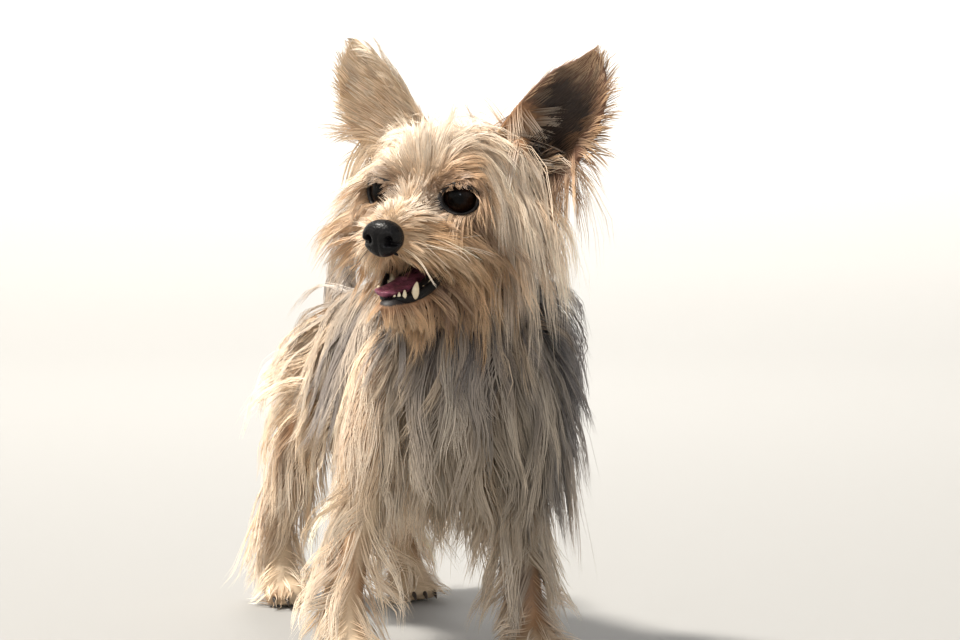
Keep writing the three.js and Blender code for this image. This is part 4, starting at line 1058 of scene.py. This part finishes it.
    ring_of = np.append(np.repeat(np.arange(rings), 3), rings) / rings - 0.5
    side_of = np.append(np.tile((-0.5, 0.5, 0.0), rings), 0.0)
    layout = place[:, None, :] + TUFT_PATCH * np.stack((side_of, ring_of), 1)[None]

    mesh = bpy.data.meshes.new(name)
    mesh.vertices.add(count * size)
    mesh.vertices.foreach_set("co", corners.astype(np.float32).ravel())
    mesh.loops.add(triangles.size)
    mesh.loops.foreach_set("vertex_index", triangles.astype(np.int32).ravel())
    mesh.polygons.add(len(triangles))
    mesh.polygons.foreach_set("loop_start", np.arange(0, triangles.size, 3, dtype=np.int32))
    mesh.polygons.foreach_set("use_smooth", np.ones(len(triangles), bool))
    mesh.update(calc_edges=True)
    # Hairs in a lock catch the light as one soft surface, on their upper and on their under side
    rounded = 0.45 * np.stack((across[:, :-1], -across[:, :-1], 0 * across[:, :-1]), 2)
    rounded = rounded.reshape(count, -1, 3)
    above = np.repeat(out[:, :-1], 3, 1)
    facing = np.concatenate((unit(above + rounded), out[:, -1:], unit(rounded - above), -out[:, -1:]), 1)
    under_side = np.arange(len(blade)) < 2 * rings - 1
    facing = facing[:, (np.array(blade) + size * under_side[:, None]).ravel()]
    mesh.normals_split_custom_set(facing.reshape(-1, 3).tolist())
    mesh.uv_layers.new(name="OFBake")
    corner_uv = layout.reshape(-1, 2)[triangles.ravel()]
    mesh.uv_layers["OFBake"].data.foreach_set("uv", corner_uv.astype(np.float32).ravel())
    tone = mesh.color_attributes.new("tone", "FLOAT_COLOR", "POINT")
    rgba = np.concatenate((colour, np.ones(colour.shape[:2] + (1,))), 2)
    tone.data.foreach_set("color", rgba.astype(np.float32).ravel())
    piece = bpy.data.objects.new(name, mesh)
    bpy.context.scene.collection.objects.link(piece)
    piece.data.materials.append(silk)
    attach(piece, "root")
    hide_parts(*nodes)


# Fullness of the coat: balls that its top layer lies on, with the depth of the layers under it
def fullness(at, radii, slack, turn=None):
    return np.array(at), np.array(radii) * MM, np.array((turn or Matrix.Identity(4)).to_3x3()), slack


cape = fullness(body_at(34, -73, 122), (40, 42, 64), 26)
breast = fullness(body_at(12, -86, 134), (50, 42, 48), 16)
rump = fullness(body_at(-2, 62, 131), (39, 46, 50), 14)
haunches = [fullness(body_at(side * 15, 64, 104), (42, 42, 54), 18) for side in (1, -1)]
crown = fullness(head_at(0, 3, 3), (34.5, 37, 31), 8, head_turn)
cheek_left = fullness(head_at(21, -2, -30), (33, 28, 37), 18, head_turn)
cheek_right = fullness(head_at(-15, -7, -27), (44, 28, 38), 18, head_turn)
ruff = fullness(head_at(26, 14, -20), (32, 27, 36), 20, head_turn)
ear_foot = fullness(head_at(39, 14, -6), (26, 22, 26), 14, head_turn)
yoke = fullness(body_at(37, -74, 156), (34, 36, 34), 12)


def spine_x(y):
    return np.interp(y, (-114, -76, -32, 14, 52, 92), (10, 10, 6, 2, 0, 0))


def lie_trunk(root, normal):
    """Down and back from the parting along the spine, and straight down over the breast."""
    x, y, _ = in_body(root).T
    off = np.tanh((x - spine_x(y)) / 5)
    top = np.clip(normal[:, 2], 0, 1)
    front = smooth_step(-95, -115, y)
    swept = smooth_step(-8, -24, x) * smooth_step(-84, -50, y)
    way = np.stack((
        off * (0.2 + 0.8 * top) * (1 - front) + 0.25 * normal[:, 0] * front,
        (0.25 + 0.75 * swept) * (1 - front) * (1 - 0.8 * top),
        -1.0 + 0.5 * top,
    ), 1)
    under = smooth_step(0.2, 0.8, -normal[:, 2])
    length = np.where(front > 0.5, 62, 70 - 16 * smooth_step(0, 90, y)) * (1 - 0.1 * under)
    length = length * (1 + 0.3 * smooth_step(20, 40, x) * smooth_step(0.3, -0.2, normal[:, 2]))
    return way, length, 0.18 + 0.1 * under, (0.5 + 0.3 * smooth_step(20, 70, y)) * (1 - 0.72 * swept)


def lie_neck(root, normal):
    way = normal * (0.35, 0.25, 0) + GRAVITY
    nape = smooth_step(0.1, 0.7, normal[:, 1])
    way[:, 1] += 0.5 * nape
    return way, 62 - 16 * nape, 0.25, 0.3


def lie_tail(root, normal):
    return np.tanh(4 * normal) * (0.4, 0, 0) + (0, 0.4, -1), 24, 0.06, 0.9


def lie_leg(root, normal):
    """Feathering that falls from a line down the front of the leg and splays to both sides."""
    z = in_body(root)[:, 2]
    way = normal * (0.95, 0.45, 0) + (0, 0.4, -1)
    lift = 0.12 + 0.4 * smooth_step(100, 40, z) * smooth_step(6, 20, z)
    return way, 14 + 36 * smooth_step(9, 60, z), lift, 0.1 + 0.6 * smooth_step(88, 120, z)


# Guide hairs of the head: place (x, y, z), way (x, y, z), length, lift and fall. The first list holds
# on both sides, the second only on the left and the third only on the right, where the whiskers hang.
BOTH_SIDES = [
    (1, -63, -10, 0.4, 0.9, 0.3, 4, 0.15, 0), (3, -54, -8, 0.5, 0.9, 0.4, 6, 0.2, 0),
    (3, -45, -7, 0.5, 0.8, 0.7, 8, 0.25, 0), (9, -44, -9, 0.9, 0.7, 0.3, 8, 0.2, 0),
    (2, -38, -1, 0.15, 0.2, 1, 10, 0.2, 0), (2, -35, 7, 0.2, 0.2, 1, 13, 0.2, 0.01),
    (10, -35, 6, 0.5, 0.1, 1, 12, 0.22, 0.01), (19, -33, 8, 0.9, 0.2, 0.7, 12, 0.2, 0.03),
    (9, -62, -15, 0.9, 0.7, -0.1, 8, 0.25, 0.03), (12, -50, -15, 0.9, 0.8, -0.1, 13, 0.25, 0.03),
    (2, -30, 14, 0.2, 0.4, 1, 18, 0.25, 0.02), (11, -28, 15, 0.6, 0.1, 0.7, 20, 0.25, 0.14),
    (3, -20, 20, 0.5, 0.3, 0.5, 34, 0.25, 0.24),
    (4, -8, 25, 0.8, 0.1, 0.1, 62, 0.2, 0.5),
    (4, 12, 26, 1, 0.3, 0, 60, 0.2, 0.4), (20, 16, 16, 0.7, 0.4, -0.8, 62, 0.2, 0.4),
    (4, 34, 8, 0.3, 0.6, -0.9, 58, 0.22, 0.2), (20, 28, -6, 0.4, 0.4, -0.9, 60, 0.25, 0.2),
    (21, -37, -14, 0.9, 0.6, -0.5, 20, 0.25, 0.06), (26, -28, -18, 0.8, 0.5, -0.8, 34, 0.3, 0.12),
    (29, -8, -28, 0.7, 0.2, -1, 50, 0.3, 0.2), (18, -14, -44, 0.4, 0.2, -1, 44, 0.25, 0.25),
    (0, -62, -52, 0.1, 0.2, -1, 11, 0.15, 0.1), (7, -56, -54, 0.4, 0.3, -1, 15, 0.15, 0.12),
    (2, -44, -57, 0.2, 0.3, -1, 24, 0.15, 0.12), (2, -20, -50, 0.1, 0.3, -1, 40, 0.2, 0.2),
]
LEFT_ONLY = [
    (21, -25, 12, 0.2, 0, -1, 42, 0.2, 0.5), (28, -24, 2, 0.15, 0.15, -1, 50, 0.2, 0.55),
    (14, -17, 19, 0.5, 0, -0.7, 64, 0.15, 0.8), (20, -6, 20, 0.4, 0, -1, 82, 0.12, 0.8),
    (31, -14, -6, 0.15, 0.1, -1, 66, 0.2, 0.5), (33, 2, -8, 0.3, 0.2, -1, 84, 0.2, 0.6),
    (33, 12, -2, 0.5, 0.3, -0.9, 84, 0.2, 0.65), (28, 24, -6, 0.4, 0.4, -0.9, 78, 0.25, 0.55),
    (11, -55, -17, 0.9, 0.9, -0.2, 26, 0.35, 0.1), (14, -46, -18, 0.9, 0.9, -0.3, 38, 0.35, 0.12),
    (8, -64, -23, 0.9, 0.8, -0.3, 12, 0.25, 0.06), (12, -56, -25, 0.8, 1, -0.25, 19, 0.25, 0.08),
    (15, -46, -27, 0.7, 1, -0.3, 27, 0.28, 0.1), (18, -38, -26, 0.7, 1, -0.5, 34, 0.3, 0.12),
    (22, -30, -33, 0.7, 0.7, -0.8, 36, 0.3, 0.12), (13, -42, -52, 0.6, 0.4, -0.9, 24, 0.3, 0.12),
]
RIGHT_ONLY = [
    (21, -25, 12, 0.7, 0, -0.6, 36, 0.2, 0.34), (28, -24, 2, 0.4, 0.2, -1, 38, 0.2, 0.3),
    (15, -17, 19, 0.7, 0, -0.6, 54, 0.2, 0.45), (20, -6, 20, 0.6, 0, -0.9, 62, 0.16, 0.5),
    (31, -14, -6, 0.4, 0.2, -1, 48, 0.3, 0.24), (33, 0, -8, 0.5, 0.2, -1, 60, 0.35, 0.25),
    (8, -64, -23, 0.8, 0.5, -0.7, 13, 0.25, 0.08), (12, -56, -25, 0.7, 0.6, -0.8, 20, 0.3, 0.1),
    (15, -46, -27, 0.7, 0.7, -0.8, 27, 0.3, 0.1), (18, -38, -26, 0.9, 0.4, -0.7, 32, 0.4, 0.1),
    (22, -30, -33, 1.0, 0.3, -0.8, 36, 0.45, 0.1), (13, -42, -52, 0.5, 0.3, -1, 22, 0.3, 0.12),
    (30, -18, -10, 0.9, 0.1, -0.9, 38, 0.4, 0.14),
]
mirror = np.array((-1, 1, 1, -1, 1, 1, 1, 1, 1))
guide_table = np.vstack((BOTH_SIDES, LEFT_ONLY, BOTH_SIDES * mirror, RIGHT_ONLY * mirror))


def lie_head(root, normal):
    place = in_head(root)
    away = np.linalg.norm(place[:, None, :] - guide_table[None, :, :3], axis=2)
    weight = 1 / (away + 2.0) ** 4
    weight /= weight.sum(1, keepdims=True)
    blend = weight @ guide_table[:, 3:]
    local, length = unit(blend[:, :3]), blend[:, 3]
    # Round the eyes the hair is short and lies away from the lids
    for side in (1, -1):
        off = place - np.array((side * (EYE[0] + 2), EYE[1] - 6, EYE[2]))
        off[:, 0] /= 1.25
        reach = np.linalg.norm(off, axis=1)
        close = smooth_step(17, 10.5, reach) * (place[:, 1] < -15)
        brow = smooth_step(1.5, 5, off[:, 2]) * (reach < 20)
        away_from_eye = unit(off * np.array((1, 0.2, 1)) + np.array((0, 2.0, 0)))
        over_eye = unit(np.array((side * 1.0, 0.1, -0.05)))
        wanted = mix(away_from_eye, over_eye, brow)
        reach_over = 4.5 + 3 * brow
        if side < 0:
            inner = smooth_step(0, 6, off[:, 0]) * smooth_step(6, 0, off[:, 2])
            wanted = mix(wanted, unit(np.array((-0.8, -0.4, 0.5))), inner)
            reach_over = reach_over + 5 * inner
        local = mix(local, wanted, close * (0.85 - 0.1 * brow))
        length = mix(length[:, None], reach_over[:, None], close * 0.8)[:, 0]
    return local @ HEAD_OUT.T, length, blend[:, 4], blend[:, 5]


def lie_ear(side):
    """Short hair lies up to the tip and out over the rim, and a fringe grows from the outer edge."""
    def lie(root, normal):
        u, v, front = ear_place(side, root)
        step = 0.03
        up, outward = [], []
        for a, b in zip(np.minimum(u, 0.97), np.minimum(v, 0.97)):
            up.append(ear_point(side, a, b + step) - ear_point(side, a, max(b - step, 0)))
            outward.append(ear_point(side, a + step, b) - ear_point(side, max(a - step, 0), b))
        up, outward = unit(np.array(up)), unit(np.array(outward))
        edge = smooth_step(0.7, 0.95, u)
        foot = smooth_step(0.42, 0.08, v)
        tuft = smooth_step(0.32, 0.14, u) * smooth_step(0.42, 0.2, v) * (side > 0)
        base = front * smooth_step(0.16, 0.02, v)
        wispy = smooth_step(0.2, 0.06, u) * smooth_step(0.1, 0.3, v) * smooth_step(0.95, 0.7, v)
        wispy = wispy * (side < 0)
        spread = 0.25 + (0.6 * edge if side > 0 else 0.15) + 1.0 * tuft - 1.1 * wispy
        rise = 1 - 0.4 * edge * smooth_step(0.75, 0.2, v) - 1.9 * tuft - 1.5 * edge * foot
        local = up * rise[:, None] + outward * spread[:, None]
        length = 6 + (8 if side > 0 else 3) * edge * (1.1 - 0.6 * v) + 5 * (1 - v) + 15 * tuft
        length = length + 36 * foot * edge + 12 * wispy + 5 * base
        fall = 0.01 + 0.03 * edge + 0.03 * tuft + 0.1 * wispy + 0.2 * foot * edge
        return local @ HEAD_OUT.T, length, 0.1 + 0.15 * edge + 0.2 * tuft + 0.3 * base, fall
    return lie


# Bare skin: the mouth and lips, the rims of the lids, the nose leather and the soles
face_head = in_head(face_middle)


def round_eye(places, side, grown):
    """Distance from an eye's opening, 1 at a border set by how far the opening is grown."""
    middle = np.array((side * (EYE[0] + 2.2), EYE[1] - 9, EYE[2] - 0.2))
    return np.linalg.norm((places - middle) / (np.array((9.0, 10.0, 6.6)) + grown), axis=1)


def lip_width(places):
    """How far bare skin reaches round the mouth: widest under the lower lip."""
    return 1.16 + 0.22 * smooth_step(-40, -45, places[:, 2]) * smooth_step(-30, -40, places[:, 1])


bare = depth_in("mouth", face_middle) < lip_width(face_head)
for side in (1, -1):
    bare |= round_eye(face_head, side, 0.9) < 1
bare |= np.linalg.norm((face_head - np.array(NOSE)) / (np.array(NOSE_SIZE) + 0.2), axis=1) < 1
SOLE_HEIGHT = 2.5
bare |= in_body(face_middle)[:, 2] < SOLE_HEIGHT


def window(x, y, z, radii, yaw):
    """A clear view that hair parts round: a long ball that stands out of the face."""
    turn = head_turn @ Matrix.Rotation(math.radians(yaw), 4, "Z")
    return np.array(head_at(x, y, z)), np.array(radii) * MM, np.array(turn.to_3x3())


views = [
    window(EYE[0] + 8, EYE[1] - 24, EYE[2] - 1.6, (10.6, 36, 6.6), 17),
    window(-EYE[0] - 5.8, EYE[1] - 24, EYE[2] - 1.6, (6.0, 36, 4.9), 3),
    window(4.4, -68, -37.5, (12.2, 28, 9.5), 8), window(0, -80, -19, (9.2, 16, 8.2), 6),
]


def flesh(*parts):
    return [m for m in masses if m[0] in parts]


face_zone = np.isin(face_part, ("head", "jaw")) & ~bare
over_head = flesh("head", "jaw")
for side, name, fulls in (
    (1, "left", [crown, cheek_left, ruff, ear_foot]), (-1, "right", [crown, cheek_right]),
):
    half = face_zone & (face_head[:, 0] * side > 0) & (face_part == "head")
    grow("coat_face_" + name, half & (face_head[:, 1] < -26), "head", ["head"],
         lie_head, over_head, [], count=5200, clump=8, rings=4, wide=0.21,
         ripple=0.6, clear=views, draw=0.2, sway=0.08)
    grow("coat_head_" + name, half & (face_head[:, 1] > -30), "head", ["head"],
         lie_head, over_head, fulls, count=4600, clump=14, rings=5, wide=0.28,
         clear=views, draw=0.35, sway=0.1)
grow("coat_beard", (face_part == "jaw") & ~bare, "jaw", ["jaw"],
     lie_head, over_head, [cheek_left, cheek_right], count=3050, clump=12, rings=5, wide=0.27, clear=views)
for side, name in ((1, "ear_left"), (-1, "ear_right")):
    grow("coat_" + name, face_part == name, name, [name], lie_ear(side), [], [],
         count=3200, clump=8, rings=4, wide=0.26, ripple=0.5, draw=0.18, sway=0.06)
grow("coat_neck", face_part == "neck", "neck", ["neck"],
     lie_neck, flesh("neck", "torso"), [breast, cape, yoke], count=3800, clump=18, rings=6, wide=0.42,
     ripple=4.2, draw=0.5, sway=0.3, wave_long=58)
face_body = in_body(face_middle)
torso_faces = face_part == "torso"
left_of_spine = face_body[:, 0] > spine_x(face_body[:, 1])
for half, name, count in ((left_of_spine, "left", 3900), (~left_of_spine, "right", 4300)):
    grow("coat_trunk_" + name, torso_faces & half, "torso", ["torso"],
         lie_trunk, flesh("torso"), [breast, cape, rump, *haunches], count=count, clump=22, rings=6,
         wide=0.4, ripple=4.6, draw=0.55, sway=0.28, wave_long=60)
for name, leg in legs.items():
    count, fulls = (2300, []) if leg["front"] else (2000, haunches)
    grow("coat_" + name, (face_part == name) & ~bare, name, [name],
         lie_leg, flesh(name), fulls, count=count, clump=14, rings=5, wide=0.34,
         ripple=3.2, draw=0.5, sway=0.28, wave_long=50)
shoulder = torso_faces & (face_body[:, 0] > 22) & (face_body[:, 1] < -36) & (face_body[:, 2] > 112)
grow("coat_shoulder", shoulder, "torso", ["torso"],
     lie_trunk, flesh("torso"), [breast, cape, yoke], count=3100, clump=16, rings=6, wide=0.54,
     ripple=4.2, draw=0.5, sway=0.26, wave_long=60)
grow("coat_tail", face_part == "tail", "tail", ["tail"],
     lie_tail, flesh("tail"), [], count=700, clump=14, rings=6, wide=0.45)


def lie_wisp(root, normal):
    """Flyaway hairs between the ears, each with a way of its own."""
    local = rng.standard_normal((len(root), 3)) * (0.6, 0.4, 0.3) + (0, 0.2, 0.9)
    length = rng.uniform(16, 34, len(root))
    return unit(local) @ HEAD_OUT.T, length, 0.9, rng.uniform(0.02, 0.22, len(root))


def lie_whisker(root, normal):
    """Whiskers sweep out and back on the left cheek and hang down on the right one."""
    side = np.sign(in_head(root)[:, 0])
    local = side[:, None] * (0.9, 0, 0.35) + (0, 0.15, -0.45)
    local += 0.16 * rng.standard_normal(local.shape)
    return unit(local) @ HEAD_OUT.T, rng.uniform(24, 40, len(root)), 0.6, np.where(side > 0, 0.03, 0.2)


top_faces = face_zone & (face_head[:, 2] > 18) & (face_head[:, 1] > -18) & (np.abs(face_head[:, 0]) < 20)
grow("coat_wisps", top_faces, "head", ["head"], lie_wisp, over_head, [],
     count=150, clump=1, rings=9, wide=0.13, ripple=1.8, clear=views, sway=0.16)
pads = face_zone & (face_head[:, 1] < -48) & (np.abs(face_head[:, 2] + 20.5) < 3.5)
pads &= np.abs(face_head[:, 0]) > 5
grow("whiskers", pads, "whisker", ["head"], lie_whisker, over_head, [],
     count=26, clump=1, rings=9, wide=0.17, ripple=1.5, clear=views, sway=0.14)

# The skin shows the coat's markings between the hairs, with their painted shade and light, is black at the
# lids and lips, and dark red in the mouth, made almost black there as painted shade in the hollow
corner_tone = np.tile(CREAM, (len(corner_at), 1))
for name in np.unique(face_part):
    chosen = np.unique(face_corners[face_part == name])
    corner_tone[chosen] = markings(corner_at[chosen], name)[0] * 0.7
corner_mouth = depth_in("mouth", corner_at)
corner_head = in_head(corner_at)
lip_edge = lip_width(corner_head)
corner_tone = mix(corner_tone, paint("161011"), smooth_step(0.12, 0.0, corner_mouth - lip_edge))
# Painted shade: the hollow of the mouth is nearly black red.
corner_tone = mix(corner_tone, paint("1A090B"), smooth_step(1.06, 0.98, corner_mouth))
for side in (1, -1):
    lid = smooth_step(1.1, 1.0, round_eye(corner_head, side, 1.2))
    corner_tone = mix(corner_tone, paint("17110F"), lid)
tone = skin.data.color_attributes.new("tone", "FLOAT_COLOR", "POINT")
rgba = np.column_stack((corner_tone, np.ones(len(corner_tone))))
tone.data.foreach_set("color", rgba.astype(np.float32).ravel())
skin.data.materials.clear()
skin.data.materials.append(hair_finish("hide", roughness=0.6, sheen=0.0))

# Floor and light. A pale floor of plaster that sweeps up all round. A high lamp stands in for the sun,
# with one on the backdrop, a fill, a rim, and a small one that glints in the eyes.
SWEEP = [(0, 0), (1.0, 0), (2.2, 0), (3.2, 0.12), (4.0, 0.5), (4.6, 1.1), (5.0, 2.0), (5.2, 3.2)]
AROUND = 96
sweep_corners = [
    (r * math.cos(2 * math.pi * k / AROUND), r * math.sin(2 * math.pi * k / AROUND), floor_z + high)
    for r, high in SWEEP[1:] for k in range(AROUND)
] + [(0, 0, floor_z)]
sweep_faces = [(len(sweep_corners) - 1, k, (k + 1) % AROUND) for k in range(AROUND)]
for i in range(len(SWEEP) - 2):
    for k in range(AROUND):
        a, b = i * AROUND + k, i * AROUND + (k + 1) % AROUND
        sweep_faces.append((a, a + AROUND, b + AROUND, b))
floor = new_piece("floor", sweep_corners, sweep_faces)
pick(floor)
bpy.ops.object.shade_smooth()
plaster, shader = new_finish("floor")
height = add_node(plaster, "SeparateXYZ", {0: add_node(plaster, "TexCoord")["Object"]})["Z"]
rising = add_node(plaster, "MapRange", {"Value": height, "From Max": 1.2})["Result"]
pale = shades(plaster, rising, (0, (0.3, 0.297, 0.29)), (1, (0.55, 0.547, 0.54)))
fill(shader, {"Base Color": pale, "Roughness": 0.85})
floor.data.materials.append(plaster)

world = bpy.data.worlds.new("studio")
world.use_nodes = True
fill(world.node_tree.nodes["Background"], {"Color": (0.88, 0.92, 1.0, 1), "Strength": 0.25})
bpy.context.scene.world = world


def add_lamp(name, place, power, size, color, aim=(0, -60, 170)):
    data = bpy.data.lights.new(name, "AREA")
    data.energy = power
    data.size = size
    data.color = color
    lamp = bpy.data.objects.new(name, data)
    bpy.context.scene.collection.objects.link(lamp)
    lamp.location = place
    lamp.rotation_euler = (body_at(*aim) - Vector(place)).to_track_quat("-Z", "Y").to_euler()


add_lamp("key", (-5.0, 1.0, 9.6), power=2350, size=1.6, color=(1.0, 0.95, 0.87))
add_lamp(
    "backdrop", (1.0, 2.6, 3.4), power=140, size=2.0, color=(1.0, 0.98, 0.95), aim=(1700, 5000, 700),
)
add_lamp("fill", (0.9, -1.6, 0.7), power=1.0, size=1.0, color=(0.92, 0.95, 1.0))
add_lamp("rim", (0.4, 1.5, 1.4), power=12, size=0.5, color=(1.0, 0.97, 0.92))
add_lamp("catchlight", (-0.5, -1.3, 0.62), power=2.4, size=0.16, color=(0.82, 0.9, 1.0))

bpy.context.scene.view_settings.view_transform = "Standard"
